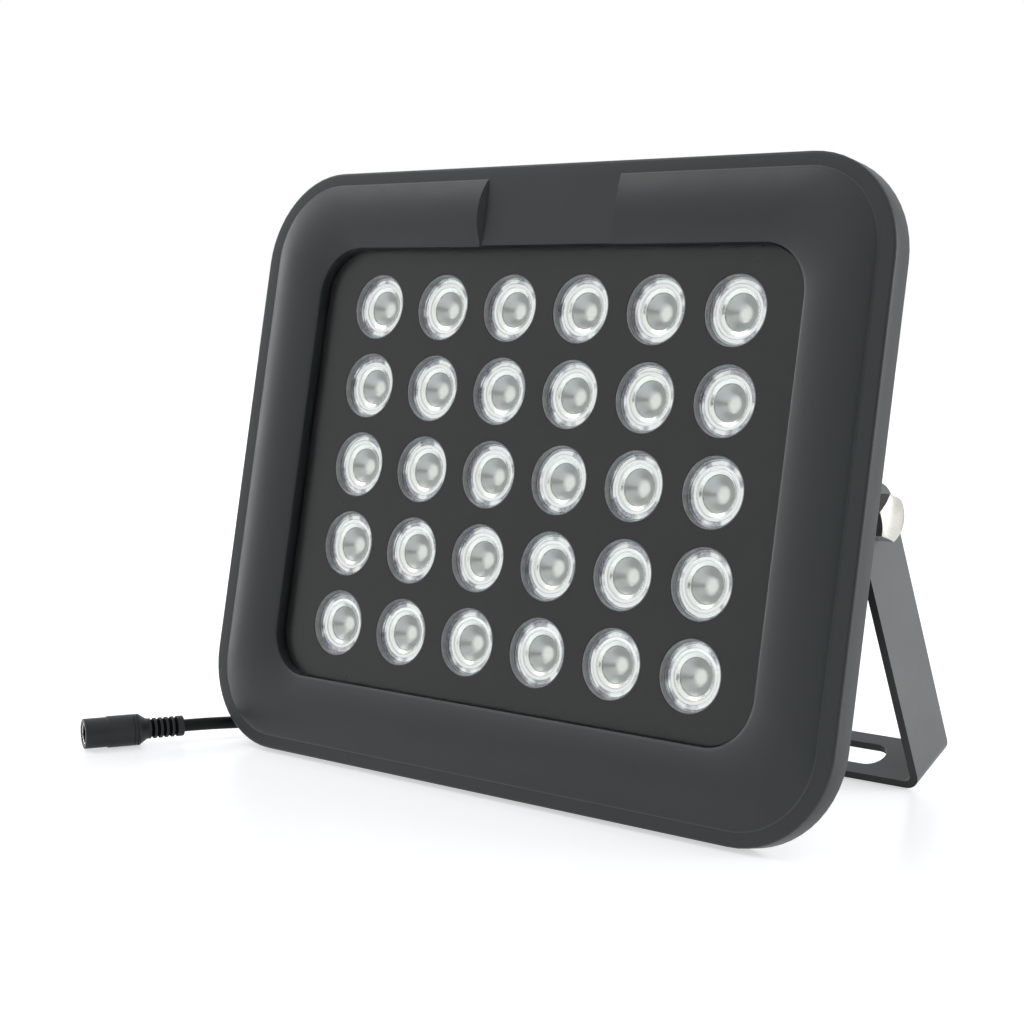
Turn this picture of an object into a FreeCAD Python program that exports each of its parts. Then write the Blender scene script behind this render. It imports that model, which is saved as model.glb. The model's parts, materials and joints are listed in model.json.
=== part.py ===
import FreeCAD, Part
import math
import os

# Infrared flood lamp: thirty lensed emitters behind a glass pane in a cast frame, on a folded steel
# bracket, with a short supply cord that ends in a coaxial socket. Lengths are in millimetres.
# The lamp head is built upright: x to the right, y to the back, z up, with the plane of the printed
# mask near y = 0 and the middle of the lens grid at x = 0, z = 0. It then leans back on the bracket.

# Lens grid, counted along the width and the height
COLUMNS, ROWS = 6, 5
PITCH_X, PITCH_Z = 27.0, 25.0

# Cast front frame round the window
MARGIN_X, MARGIN_Z = 23.5, 18.0
BORDER_X, BORDER_Z = 26.0, 24.5
FRAME_R = 29.0
RIM_FRONT = -2.4
FRAME_BACK = 5.0
CREASE_SIDE, CREASE_END = 4.9, 4.0
OPEN_R = 14.5
BULGE_RISE = 2.4
FRONT_EDGE_R, BACK_EDGE_R = 0.9, 0.5
WINDOW_LEDGE = 5.0
PAD_W, PAD_DRAFT_DEG = 50.0, 25.0
SKIRT_WALL, CHANNEL_DEPTH, LAND_MARGIN = 3.5, 3.6, 2.5

# Glass, mask and seals, from the front to the back
GLASS_RECESS, GLASS_T, GLASS_GAP = 0.5, 3.0, 0.6
MASK_T, MASK_HOLE_R = 0.8, 10.27
SEAL_T, SEAL_W = 0.4, 4.2
HOUSING_SEAL_T, HOUSING_SEAL_W = 0.5, 2.6

# Lenses and the emitters behind them
LENS_GAP = 0.3
LENS_RIM_R, LENS_RIM_H, LENS_CUP_R = 10.9, 4.4, 9.7
LENS_FACE_DEPTH = 3.4
LENS_WELL_R, LENS_WELL_DEPTH = 5.0, 2.5
LENS_FOOT_R = 6.2
LENS_HEIGHT = 13.3
LENS_POCKET_R, LENS_POCKET_DEPTH = 3.6, 2.4
EMITTER_SIDE, EMITTER_T = 3.6, 1.1

# Board and heat spreader behind the lenses, screwed to posts between the lenses
BOARD_T, BOARD_R = 1.6, 12.0
BOARD_GAP_X, BOARD_GAP_Z = 3.5, 4.5
SPREADER_T = 3.0
POST_R = 4.0
M3_R, M3_HEAD_R, M3_HEAD_H, M3_LENGTH = 1.5, 2.75, 1.8, 10.0

# Cast rear housing
BODY_RISE, BODY_R, BODY_END_R = 2.0, 18.0, 14.0
BODY_TAPER, WALL, FLOOR = 6.0, 3.5, 4.0
BODY_EDGE_R = 3.0
FLANGE_EDGE_X, FLANGE_EDGE_Z, HOUSING_FLANGE_R, HOUSING_FLANGE_T = 5.9, 5.0, 20.0, 3.5
FIN_COUNT, FIN_PITCH, FIN_T, FIN_HEIGHT, FIN_LENGTH = 15, 9.5, 2.6, 12.0, 112.0
FIN_END_SLOPE, FIN_ROOT = 9.0, 1.0
M4_R, M4_HEAD_R, M4_HEAD_H, M4_LENGTH = 2.0, 3.4, 2.2, 10.0
CORNER_SCREW_OUT_X, CORNER_SCREW_OUT_Z = 4.5, 2.5
END_SCREW_X, END_SCREW_OUT = 35.0, 7.0
SIDE_SCREW_OUT = 7.6

# Driver board in the rear of the housing, and what is on it
DRIVER_W, DRIVER_R, DRIVER_T, DRIVER_RISE = 96.0, 3.0, 1.6, 6.0
DRIVER_GAP = 3.5
STANDOFF_INSET, STANDOFF_R, DRIVER_SCREW_DEPTH = 6.0, 3.0, 4.0
COIL_X, COIL_Z, COIL_R, COIL_BORE_R, COIL_H = 10.0, 8.0, 8.0, 3.2, 9.0
CAPACITOR_X, CAPACITOR_Z, CAPACITOR_PITCH = 4.0, -14.0, 14.0
CAPACITOR_R, CAPACITOR_H = 5.0, 12.0
TERMINAL_INSET, TERMINAL_W, TERMINAL_T, TERMINAL_H = 3.0, 8.0, 10.0, 16.0
TERMINAL_WAY = 4.0
LEAD_R = 0.9
SUPPLY_LEAD_OUT, SUPPLY_LEAD_END = 1.1, 9.0
LED_LEAD_INSET, LED_LEAD_LOW, LED_LEAD_HIGH, LED_LEAD_OUT, LED_LEAD_END = 14.0, 20.0, 26.0, 2.0, 7.0

# Pivot, ahead of the housing's back, and folded bracket
PIVOT_INSET = 9.1
ARM_GAP, BRACKET_T, STRIP_W, BEND_R = 5.5, 2.5, 19.2, 5.0
SLOT_INSET, SLOT_LENGTH, SLOT_W = 16.6, 30.0, 10.0
CENTRE_HOLE_R = 5.0
BOSS_R, BOSS_LENGTH = 10.4, 14.5
INNER_BOSS_R, INNER_BOSS_WALL, INNER_BOSS_OVERLAP = 8.5, 3.0, 7.5
WASHER_R, WASHER_T = 8.0, 1.4
BOLT_R, BOLT_REACH, BOLT_AF, BOLT_HEAD_H = 4.0, 16.0, 12.0, 5.3
BOLT_TURN_DEG, BOLT_FACE_R, BOLT_CHAMFER_DEG = 52.3, 5.85, 30.0
RUNNING_FIT = 0.08
SIDE_PLAY = 0.1
FIT = 0.05
# How much deeper a blind hole is than its screw, and how far a cut runs past a face
HOLE_SPARE = 0.5
PAST = 1.0

# Stance: the head leans back on its lower edge, and the bracket swings back to meet the floor
LEAN_DEG = 11.28
SWING_DEG = 24.946

# Rubber boot where the cord leaves the left side, between the heat spreader and the pivot's boss
BOOT_SPREADER_GAP, BOOT_BOSS_GAP, BOOT_UP = 2.8, 0.8, 0.0
BOOT_FLANGE_R, BOOT_FLANGE_T, BOOT_NECK_R, BOOT_NECK_LENGTH = 5.4, 2.0, 3.9, 9.0
BOOT_ROOT_R, BOOT_TIP_R, BOOT_LENGTH = 4.4, 3.1, 13.0
BOOT_SEAT_R, BOOT_SEAT_RISE, BOOT_SEAT_ROOT, BOOT_HOLE_DEPTH = 6.0, 2.12, 6.0, 12.0

# Cord and the socket on its end
CORD_R = 2.0
SOCKET_R, SOCKET_NOSE_R, SOCKET_EDGE = 5.05, 4.8, 0.4
SOCKET_NOSE_LENGTH, SOCKET_BODY_LENGTH, SOCKET_SHOULDER = 7.5, 10.3, 2.4
RELIEF_R, RELIEF_GROOVE_R, RELIEF_LENGTH = 3.3, 2.5, 12.1
RELIEF_GROOVES, RELIEF_GROOVE_W, RELIEF_GROOVE_PITCH, RELIEF_PLAIN = 5, 1.0, 1.9, 1.3
SLEEVE_R, SLEEVE_WALL, SLEEVE_SETBACK, SOCKET_DEPTH = 3.3, 0.5, 0.3, 10.5
PIN_R, PIN_LENGTH, PIN_TIP_R, PIN_TIP_LENGTH = 1.05, 9.0, 0.75, 0.5
BEND_SHARE = 0.45
# The cord's route from the boot to the socket, measured from the middle of the lamp's lower back edge
CORD_ROUTE = [
    (-112.0, 39.47, 86.36), (-128.0, 43.0, 76.0), (-138.5, 50.5, 57.5), (-144.5, 62.0, 37.0),
    (-148.5, 76.0, 18.0), (-150.8, 92.5, 5.2), (-151.5, 110.0, 2.0), (-143.5, 122.5, 2.0),
    (-128.5, 127.0, 2.0), (-114.0, 121.0, 2.0), (-106.2, 108.0, 2.0), (-105.3, 87.0, 2.0),
    (-108.0, 63.0, 2.0), (-109.8, 40.0, 2.1), (-110.6, 20.5, 3.0), (-111.2, 5.5, 4.2),
    (-113.86, -7.65, 5.05),
]
SOCKET_BACK_END = (-118.9, -15.1)
SOCKET_HEADING = (0.56, 0.828)


# Shapes that several pieces use

def outline(width, height, radius, y, cx=0.0, cz=0.0):
    """A rounded rectangle standing across y, as one wire."""
    a, b = width / 2 - radius, height / 2 - radius
    s = radius / math.sqrt(2)
    edges = []
    corners = [(1, 1), (-1, 1), (-1, -1), (1, -1)]
    for i, (sx, sz) in enumerate(corners):
        ox, oz = cx + sx * a, cz + sz * b
        along_x = FreeCAD.Vector(ox + sx * radius, y, oz)
        along_z = FreeCAD.Vector(ox, y, oz + sz * radius)
        middle = FreeCAD.Vector(ox + sx * s, y, oz + sz * s)
        first, last = (along_x, along_z) if i % 2 == 0 else (along_z, along_x)
        edges.append(Part.Arc(first, middle, last).toShape())
        nx, nz = corners[(i + 1) % 4]
        px, pz = cx + nx * a, cz + nz * b
        following = FreeCAD.Vector(px, y, pz + nz * radius) if i % 2 == 0 else FreeCAD.Vector(px + nx * radius, y, pz)
        edges.append(Part.LineSegment(last, following).toShape())
    return Part.Wire(edges)


def plate(width, height, radius, y0, y1, cx=0.0, cz=0.0):
    face = Part.Face(outline(width, height, radius, y0, cx, cz))
    return face.extrude(FreeCAD.Vector(0, y1 - y0, 0))


def rod(radius, start, end):
    """A round bar from one point to another."""
    a, b = FreeCAD.Vector(*start), FreeCAD.Vector(*end)
    return Part.makeCylinder(radius, (b - a).Length, a, b - a)


def box(x0, x1, y0, y1, z0, z1):
    return Part.makeBox(x1 - x0, y1 - y0, z1 - z0, FreeCAD.Vector(x0, y0, z0))


def turned(profile, base, axis):
    """A profile of (radius, length along the axis) points, turned about the axis from base."""
    points = [FreeCAD.Vector(r, 0, h) for r, h in profile]
    solid = Part.Face(Part.makePolygon(points + points[:1])).revolve(
        FreeCAD.Vector(0, 0, 0), FreeCAD.Vector(0, 0, 1), 360)
    solid.Placement = FreeCAD.Placement(
        FreeCAD.Vector(*base), FreeCAD.Rotation(FreeCAD.Vector(0, 0, 1), FreeCAD.Vector(*axis)))
    return solid


def hexagon(across_flats, height, turn_deg=0.0):
    """A hexagonal prism on the z axis, with a corner at turn_deg from x."""
    r = across_flats / math.sqrt(3)
    points = []
    for i in range(7):
        t = math.radians(turn_deg + 60 * i)
        points.append(FreeCAD.Vector(r * math.cos(t), r * math.sin(t), 0))
    return Part.Face(Part.makePolygon(points)).extrude(FreeCAD.Vector(0, 0, height))


def filleted(shape, radius, wanted):
    """The shape with a round of this radius on each edge that wanted() accepts."""
    return shape.makeFillet(radius, [e for e in shape.Edges if wanted(e.BoundBox)])


def route_path(points):
    """Straight runs joined by tangent arcs. Prints the arc radii."""
    p = [FreeCAD.Vector(*q) for q in points]
    edges, radii, start = [], [], p[0]
    for before, here, after in zip(p, p[1:], p[2:]):
        u, v = (here - before), (after - here)
        reach = BEND_SHARE * min(u.Length, v.Length)
        u.normalize()
        v.normalize()
        turn = u.getAngle(v)
        radius = reach / math.tan(turn / 2)
        radii.append(radius)
        centre_way = v - u
        centre_way.normalize()
        middle = here + centre_way * (radius / math.cos(turn / 2) - radius)
        first, last = here - u * reach, here + v * reach
        edges.append(Part.LineSegment(start, first).toShape())
        edges.append(Part.Arc(first, middle, last).toShape())
        start = last
    edges.append(Part.LineSegment(start, p[-1]).toShape())
    return Part.Wire(edges), radii


def tube(points, radius):
    path, radii = route_path(points)
    way = FreeCAD.Vector(*points[1]) - FreeCAD.Vector(*points[0])
    ring = Part.Wire([Part.makeCircle(radius, FreeCAD.Vector(*points[0]), way)])
    solid = path.makePipe(Part.Face(ring))
    return solid, path.Length, radii


# Sizes and places worked out from the driving sizes

GRID_W, GRID_H = PITCH_X * (COLUMNS - 1), PITCH_Z * (ROWS - 1)
OPEN_W, OPEN_H = GRID_W + 2 * MARGIN_X, GRID_H + 2 * MARGIN_Z
FRAME_W, FRAME_H = OPEN_W + 2 * BORDER_X, OPEN_H + 2 * BORDER_Z
BODY_W, BODY_H = OPEN_W - 2 * WINDOW_LEDGE, OPEN_H + 2 * BODY_RISE
BOARD_W, BOARD_H = BODY_W - 2 * (WALL + BOARD_GAP_X), BODY_H - 2 * (WALL + BOARD_GAP_Z)
POST_X, POST_Z = 2 * PITCH_X, 1.5 * PITCH_Z
DRIVER_H = 2 * (POST_Z - POST_R - DRIVER_GAP)
STANDOFF_X, STANDOFF_Z = DRIVER_W / 2 - STANDOFF_INSET, DRIVER_H / 2 - STANDOFF_INSET
CORNER_SCREW_X, CORNER_SCREW_Z = OPEN_W / 2 + CORNER_SCREW_OUT_X, OPEN_H / 2 + CORNER_SCREW_OUT_Z
END_SCREW_Z = OPEN_H / 2 + END_SCREW_OUT
SIDE_SCREW_X = OPEN_W / 2 + SIDE_SCREW_OUT
HOUSING_FLANGE_W, HOUSING_FLANGE_H = 2 * (SIDE_SCREW_X + FLANGE_EDGE_X), 2 * (END_SCREW_Z + FLANGE_EDGE_Z)
GLASS_FRONT = RIM_FRONT + GLASS_RECESS
GLASS_REAR = GLASS_FRONT + GLASS_T
MASK_REAR = GLASS_REAR + MASK_T
LEDGE_FRONT = MASK_REAR + SEAL_T
LENS_FRONT = MASK_REAR + LENS_GAP
BOARD_FRONT = LENS_FRONT + LENS_HEIGHT
SPREADER_FRONT = BOARD_FRONT + BOARD_T
SPREADER_REAR = SPREADER_FRONT + SPREADER_T
HOUSING_FRONT = FRAME_BACK + HOUSING_SEAL_T
FLANGE_REAR = HOUSING_FRONT + HOUSING_FLANGE_T
BOOT_BACK = SPREADER_REAR + BOOT_SPREADER_GAP + BOOT_NECK_R
PIVOT_BACK = BOOT_BACK + BOOT_FLANGE_R + BOOT_BOSS_GAP + BOSS_R
BODY_REAR = PIVOT_BACK + PIVOT_INSET
BODY_DEPTH = BODY_REAR - HOUSING_FRONT
CAVITY_REAR = BODY_REAR - FLOOR
DRIVER_REAR = CAVITY_REAR - DRIVER_RISE
DRIVER_FRONT = DRIVER_REAR - DRIVER_T
ARM_IN = BODY_W / 2 + ARM_GAP
ARM_OUT = ARM_IN + BRACKET_T
BOSS_FACE = ARM_IN - SIDE_PLAY - WASHER_T
INNER_BOSS_END = BOSS_FACE - BOLT_REACH - PAST - INNER_BOSS_WALL
BOOT_SEAT_X = BODY_W / 2 - BODY_TAPER * (BOOT_BACK - HOUSING_FRONT) / BODY_DEPTH + BOOT_SEAT_RISE
TERMINAL_X = -DRIVER_W / 2 + TERMINAL_INSET

LENS_PLACES = {}
for row in range(ROWS):
    for column in range(COLUMNS):
        LENS_PLACES["lens_%d_%d" % (row + 1, column + 1)] = (
            PITCH_X * (column - (COLUMNS - 1) / 2), PITCH_Z * ((ROWS - 1) / 2 - row))

POSTS = [(x, z) for x in (-POST_X, 0.0, POST_X) for z in (-POST_Z, POST_Z)]
STANDOFFS = [(x, z) for x in (-STANDOFF_X, STANDOFF_X) for z in (-STANDOFF_Z, STANDOFF_Z)]
FRAME_SCREWS = [(x, z) for x in (-CORNER_SCREW_X, CORNER_SCREW_X) for z in (-CORNER_SCREW_Z, CORNER_SCREW_Z)]
FRAME_SCREWS += [(x, z) for x in (-END_SCREW_X, END_SCREW_X) for z in (-END_SCREW_Z, END_SCREW_Z)]
FRAME_SCREWS += [(-SIDE_SCREW_X, 0.0), (SIDE_SCREW_X, 0.0)]


# Front of the head

def bulge_section(share):
    """Outline and height of the bulge at a share of the way from its outer crease to the lip."""
    crease_w, crease_h = FRAME_W - 2 * CREASE_SIDE, FRAME_H - 2 * CREASE_END
    crease_r = FRAME_R - CREASE_SIDE
    chord = (crease_w - OPEN_W) / 2
    arc_r = (chord ** 2 / 4 + BULGE_RISE ** 2) / (2 * BULGE_RISE)
    rise = math.sqrt(arc_r ** 2 - ((share - 0.5) * chord) ** 2) - (arc_r - BULGE_RISE)
    width = crease_w + (OPEN_W - crease_w) * share
    height = crease_h + (OPEN_H - crease_h) * share
    radius = crease_r + (OPEN_R - crease_r) * share
    return outline(width, height, radius, RIM_FRONT - rise)


def make_front_frame():
    body = plate(FRAME_W, FRAME_H, FRAME_R, RIM_FRONT, FRAME_BACK)
    body = filleted(body, FRONT_EDGE_R, lambda b: b.YMax < RIM_FRONT + 0.01)
    body = filleted(body, BACK_EDGE_R, lambda b: b.YMin > FRAME_BACK - 0.01)
    outer_slope = Part.makeLoft([bulge_section(i / 8) for i in range(5)], True)
    inner_slope = Part.makeLoft([bulge_section(i / 8) for i in range(4, 9)], True)
    body = body.fuse(outer_slope).cut(inner_slope)
    body = body.cut(plate(OPEN_W, OPEN_H, OPEN_R, RIM_FRONT - BULGE_RISE, LEDGE_FRONT))
    body = body.cut(plate(OPEN_W - 2 * WINDOW_LEDGE, OPEN_H - 2 * WINDOW_LEDGE, OPEN_R - WINDOW_LEDGE,
                          LEDGE_FRONT - PAST, FRAME_BACK + PAST))
    body = body.cut(pad_cutter()).cut(back_channel())
    for x, z in FRAME_SCREWS:
        body = body.cut(rod(M4_R + FIT, (x, FLANGE_REAR - M4_LENGTH - HOLE_SPARE, z), (x, FRAME_BACK + PAST, z)))
    return body.removeSplitter()


def pad_cutter():
    """Takes the bulge down to a flat at the middle of the top, between drafted end walls."""
    front = RIM_FRONT - BULGE_RISE - PAST
    half = PAD_W / 2
    wide = half + (RIM_FRONT - front) * math.tan(math.radians(PAD_DRAFT_DEG))
    low, high = OPEN_H / 2 - PAST, FRAME_H / 2 - CREASE_END + PAST
    points = [(-half, RIM_FRONT), (-wide, front), (wide, front), (half, RIM_FRONT), (-half, RIM_FRONT)]
    face = Part.Face(Part.makePolygon([FreeCAD.Vector(x, y, low) for x, y in points]))
    return face.extrude(FreeCAD.Vector(0, 0, high - low))


def back_channel():
    """The hollow round the back of the casting that leaves its rim as a skirt."""
    w, h, r = FRAME_W - 2 * SKIRT_WALL, FRAME_H - 2 * SKIRT_WALL, FRAME_R - SKIRT_WALL
    front = FRAME_BACK - CHANNEL_DEPTH
    outer = plate(w, h, r, front, FRAME_BACK + PAST)
    land_w, land_h = HOUSING_FLANGE_W + 2 * LAND_MARGIN, HOUSING_FLANGE_H + 2 * LAND_MARGIN
    return outer.cut(plate(land_w, land_h, HOUSING_FLANGE_R, front - PAST, FRAME_BACK + 2 * PAST))


def make_glass_pane():
    return plate(OPEN_W - 2 * GLASS_GAP, OPEN_H - 2 * GLASS_GAP, OPEN_R - GLASS_GAP, GLASS_FRONT, GLASS_REAR)


def make_mask_plate():
    body = plate(OPEN_W - 2 * GLASS_GAP, OPEN_H - 2 * GLASS_GAP, OPEN_R - GLASS_GAP, GLASS_REAR, MASK_REAR)
    holes = [rod(MASK_HOLE_R, (x, GLASS_REAR - PAST, z), (x, MASK_REAR + PAST, z)) for x, z in LENS_PLACES.values()]
    return body.cut(holes)


def make_glass_seal():
    gap = 2 * GLASS_GAP
    outer = plate(OPEN_W - gap, OPEN_H - gap, OPEN_R - GLASS_GAP, MASK_REAR, LEDGE_FRONT)
    cut = gap + 2 * SEAL_W
    return outer.cut(plate(OPEN_W - cut, OPEN_H - cut, OPEN_R - cut / 2, MASK_REAR - PAST, LEDGE_FRONT + PAST))


def make_lens(x, z):
    """A clear lens turned about its own axis: cup rim, face with a well, tapered body and foot."""
    profile = [
        (LENS_CUP_R, 0), (LENS_RIM_R, 0), (LENS_RIM_R, LENS_RIM_H), (LENS_FOOT_R, LENS_HEIGHT),
        (LENS_POCKET_R, LENS_HEIGHT), (LENS_POCKET_R, LENS_HEIGHT - LENS_POCKET_DEPTH),
        (0, LENS_HEIGHT - LENS_POCKET_DEPTH), (0, LENS_FACE_DEPTH + LENS_WELL_DEPTH),
        (LENS_WELL_R, LENS_FACE_DEPTH + LENS_WELL_DEPTH), (LENS_WELL_R, LENS_FACE_DEPTH),
        (LENS_CUP_R, LENS_FACE_DEPTH),
    ]
    return turned(profile, (x, LENS_FRONT, z), (0, 1, 0))


# Boards and what is on them

def screw_holes(places, radius, y0, y1):
    """Clearance holes along y for screws of this radius."""
    return [rod(radius + FIT, (x, y0, z), (x, y1, z)) for x, z in places]


def make_led_board():
    body = plate(BOARD_W, BOARD_H, BOARD_R, BOARD_FRONT, SPREADER_FRONT)
    return body.cut(screw_holes(POSTS, M3_R, BOARD_FRONT - PAST, SPREADER_FRONT + PAST))


def make_led_emitters():
    half = EMITTER_SIDE / 2
    return [box(x - half, x + half, BOARD_FRONT - EMITTER_T, BOARD_FRONT, z - half, z + half)
            for x, z in LENS_PLACES.values()]


def make_heat_spreader():
    body = plate(BOARD_W, BOARD_H, BOARD_R, SPREADER_FRONT, SPREADER_REAR)
    return body.cut(screw_holes(POSTS, M3_R, SPREADER_FRONT - PAST, SPREADER_REAR + PAST))


def pan_screw(x, y, z, way, radius, head_r, head_h, length):
    """A screw whose head stands on the plane at y and whose shank runs towards way."""
    head = rod(head_r, (x, y, z), (x, y - way * head_h, z))
    return head.fuse(rod(radius, (x, y, z), (x, y + way * length, z)))


def make_board_screws():
    return [pan_screw(x, BOARD_FRONT, z, 1, M3_R, M3_HEAD_R, M3_HEAD_H, M3_LENGTH) for x, z in POSTS]


def make_driver_board():
    body = plate(DRIVER_W, DRIVER_H, DRIVER_R, DRIVER_FRONT, DRIVER_REAR)
    return body.cut(screw_holes(STANDOFFS, M3_R, DRIVER_FRONT - PAST, DRIVER_REAR + PAST))


def make_driver_screws():
    length = DRIVER_T + DRIVER_SCREW_DEPTH
    return [pan_screw(x, DRIVER_FRONT, z, 1, M3_R, M3_HEAD_R, M3_HEAD_H, length) for x, z in STANDOFFS]


def make_driver_coil():
    front = DRIVER_FRONT - COIL_H
    body = rod(COIL_R, (COIL_X, front, COIL_Z), (COIL_X, DRIVER_FRONT, COIL_Z))
    return body.cut(rod(COIL_BORE_R, (COIL_X, front - PAST, COIL_Z), (COIL_X, DRIVER_FRONT - PAST, COIL_Z)))


def make_driver_capacitors():
    top = DRIVER_FRONT - CAPACITOR_H
    return [rod(CAPACITOR_R, (x, top, CAPACITOR_Z), (x, DRIVER_FRONT, CAPACITOR_Z))
            for x in (CAPACITOR_X, CAPACITOR_X + CAPACITOR_PITCH)]


def make_terminal_block():
    half = TERMINAL_H / 2
    return box(TERMINAL_X, TERMINAL_X + TERMINAL_W, DRIVER_FRONT - TERMINAL_T, DRIVER_FRONT, -half, half)


# Rear housing

def make_rear_housing():
    end_w, end_h = BODY_W - 2 * BODY_TAPER, BODY_H - 2 * BODY_TAPER
    body = Part.makeLoft([outline(BODY_W, BODY_H, BODY_R, HOUSING_FRONT),
                          outline(end_w, end_h, BODY_END_R, BODY_REAR)], True, True)
    body = filleted(body, BODY_EDGE_R, lambda b: b.YMin > BODY_REAR - 0.01)
    body = body.fuse(plate(HOUSING_FLANGE_W, HOUSING_FLANGE_H, HOUSING_FLANGE_R, HOUSING_FRONT, FLANGE_REAR))
    body = body.fuse([fin(FIN_PITCH * (i - (FIN_COUNT - 1) / 2)) for i in range(FIN_COUNT)])
    for side in (-1, 1):
        body = body.fuse(rod(BOSS_R, (side * (BOSS_FACE - BOSS_LENGTH), PIVOT_BACK, 0),
                             (side * BOSS_FACE, PIVOT_BACK, 0)))
    body = body.fuse(rod(BOOT_SEAT_R, (BOOT_SEAT_ROOT - BOOT_SEAT_X, BOOT_BACK, BOOT_UP),
                         (-BOOT_SEAT_X, BOOT_BACK, BOOT_UP)))
    body = body.cut(cavity()).fuse(inner_bosses())
    holes = screw_holes(POSTS, M3_R, SPREADER_REAR - PAST, SPREADER_REAR + M3_LENGTH)
    holes += screw_holes(STANDOFFS, M3_R, DRIVER_REAR - PAST, DRIVER_REAR + DRIVER_SCREW_DEPTH + HOLE_SPARE)
    holes += screw_holes(FRAME_SCREWS, M4_R, HOUSING_FRONT - PAST, FLANGE_REAR + PAST)
    for side in (-1, 1):
        holes.append(rod(BOLT_R + FIT, (side * (BOSS_FACE - BOLT_REACH - PAST), PIVOT_BACK, 0),
                         (side * (BOSS_FACE + PAST), PIVOT_BACK, 0)))
    holes.append(rod(BOOT_NECK_R, (-BOOT_SEAT_X - PAST, BOOT_BACK, BOOT_UP),
                     (BOOT_HOLE_DEPTH - BOOT_SEAT_X, BOOT_BACK, BOOT_UP)))
    return body.cut(holes).removeSplitter()


def cavity():
    front = outline(BODY_W - 2 * WALL, BODY_H - 2 * WALL, BODY_R - WALL, HOUSING_FRONT)
    w, h = BODY_W - 2 * BODY_TAPER - 2 * WALL, BODY_H - 2 * BODY_TAPER - 2 * WALL
    inside = Part.makeLoft([front, outline(w, h, BODY_END_R - WALL, CAVITY_REAR)], True, True)
    return inside.fuse(Part.Face(front).extrude(FreeCAD.Vector(0, -PAST, 0)))


def inner_bosses():
    """Posts for the board, standoffs for the driver board, and the deep ends of the two pivot bosses."""
    floor = CAVITY_REAR + PAST
    bosses = [rod(POST_R, (x, SPREADER_REAR, z), (x, floor, z)) for x, z in POSTS]
    bosses += [rod(STANDOFF_R, (x, DRIVER_REAR, z), (x, floor, z)) for x, z in STANDOFFS]
    beyond = box(-BODY_W, BODY_W, floor, BODY_REAR + BODY_DEPTH, -BODY_H, BODY_H)
    for side in (-1, 1):
        deep, root = side * INNER_BOSS_END, side * (BOSS_FACE - INNER_BOSS_OVERLAP)
        bosses.append(rod(INNER_BOSS_R, (deep, PIVOT_BACK, 0), (root, PIVOT_BACK, 0)).cut(beyond))
    return bosses


def fin(x):
    """One cooling fin on the back, with sloping ends."""
    a, b = FIN_LENGTH / 2, FIN_LENGTH / 2 - FIN_END_SLOPE
    y0, y1 = BODY_REAR - FIN_ROOT, BODY_REAR + FIN_HEIGHT
    points = [(y0, -a), (y1, -b), (y1, b), (y0, a), (y0, -a)]
    face = Part.Face(Part.makePolygon([FreeCAD.Vector(x - FIN_T / 2, y, z) for y, z in points]))
    return face.extrude(FreeCAD.Vector(FIN_T, 0, 0))


def make_housing_seal():
    w, h, r = BODY_W + 2 * HOUSING_SEAL_W, BODY_H + 2 * HOUSING_SEAL_W, BODY_R + HOUSING_SEAL_W
    outer = plate(w, h, r, FRAME_BACK, HOUSING_FRONT)
    return outer.cut(plate(BODY_W, BODY_H, BODY_R, FRAME_BACK - PAST, HOUSING_FRONT + PAST))


def make_frame_screws():
    return [pan_screw(x, FLANGE_REAR, z, -1, M4_R, M4_HEAD_R, M4_HEAD_H, M4_LENGTH) for x, z in FRAME_SCREWS]


# Bracket and pivots

def make_bracket():
    """A steel strip folded into a U, built about its pivot with the arms pointing down."""
    section = Part.Face(strip_outline(0.0)).cut(Part.Face(strip_outline(BRACKET_T)))
    body = section.extrude(FreeCAD.Vector(0, STRIP_W, 0))
    body.translate(FreeCAD.Vector(0, -STRIP_W / 2, 0))
    wide, under = ARM_OUT + PAST, -BRACKET_DROP - PAST
    inside = box(-wide, wide, -STRIP_W / 2, STRIP_W / 2, under, 0)
    inside = inside.fuse(rod(STRIP_W / 2, (-wide, 0, 0), (wide, 0, 0)))
    body = body.common(inside)
    holes = [rod(BOLT_R + RUNNING_FIT, (-wide, 0, 0), (wide, 0, 0))]
    over = -BRACKET_DROP + BRACKET_T + PAST
    holes.append(rod(CENTRE_HOLE_R, (0, 0, under), (0, 0, over)))
    for side in (-1, 1):
        centre = side * (ARM_OUT - SLOT_INSET - SLOT_LENGTH / 2)
        half = (SLOT_LENGTH - SLOT_W) / 2
        slot = box(centre - half, centre + half, -SLOT_W / 2, SLOT_W / 2, under, over)
        ends = [rod(SLOT_W / 2, (centre + s * half, 0, under), (centre + s * half, 0, over)) for s in (-1, 1)]
        holes.append(slot.fuse(ends).removeSplitter())
    return body.cut(holes)


def strip_outline(inset):
    """The U's outer side, or its inner side at the strip's thickness, open at the top."""
    x, z, r = ARM_OUT - inset, -BRACKET_DROP + inset, BEND_R - inset
    top = STRIP_W / 2 + PAST + inset
    s = r * (1 - 1 / math.sqrt(2))
    a, b = FreeCAD.Vector(-x, 0, top), FreeCAD.Vector(-x, 0, z + r)
    c, d = FreeCAD.Vector(-x + r, 0, z), FreeCAD.Vector(x - r, 0, z)
    e, f = FreeCAD.Vector(x, 0, z + r), FreeCAD.Vector(x, 0, top)
    left, right = FreeCAD.Vector(-x + s, 0, z + s), FreeCAD.Vector(x - s, 0, z + s)
    return Part.Wire([
        Part.LineSegment(a, b).toShape(), Part.Arc(b, left, c).toShape(), Part.LineSegment(c, d).toShape(),
        Part.Arc(d, right, e).toShape(), Part.LineSegment(e, f).toShape(), Part.LineSegment(f, a).toShape()])


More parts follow.
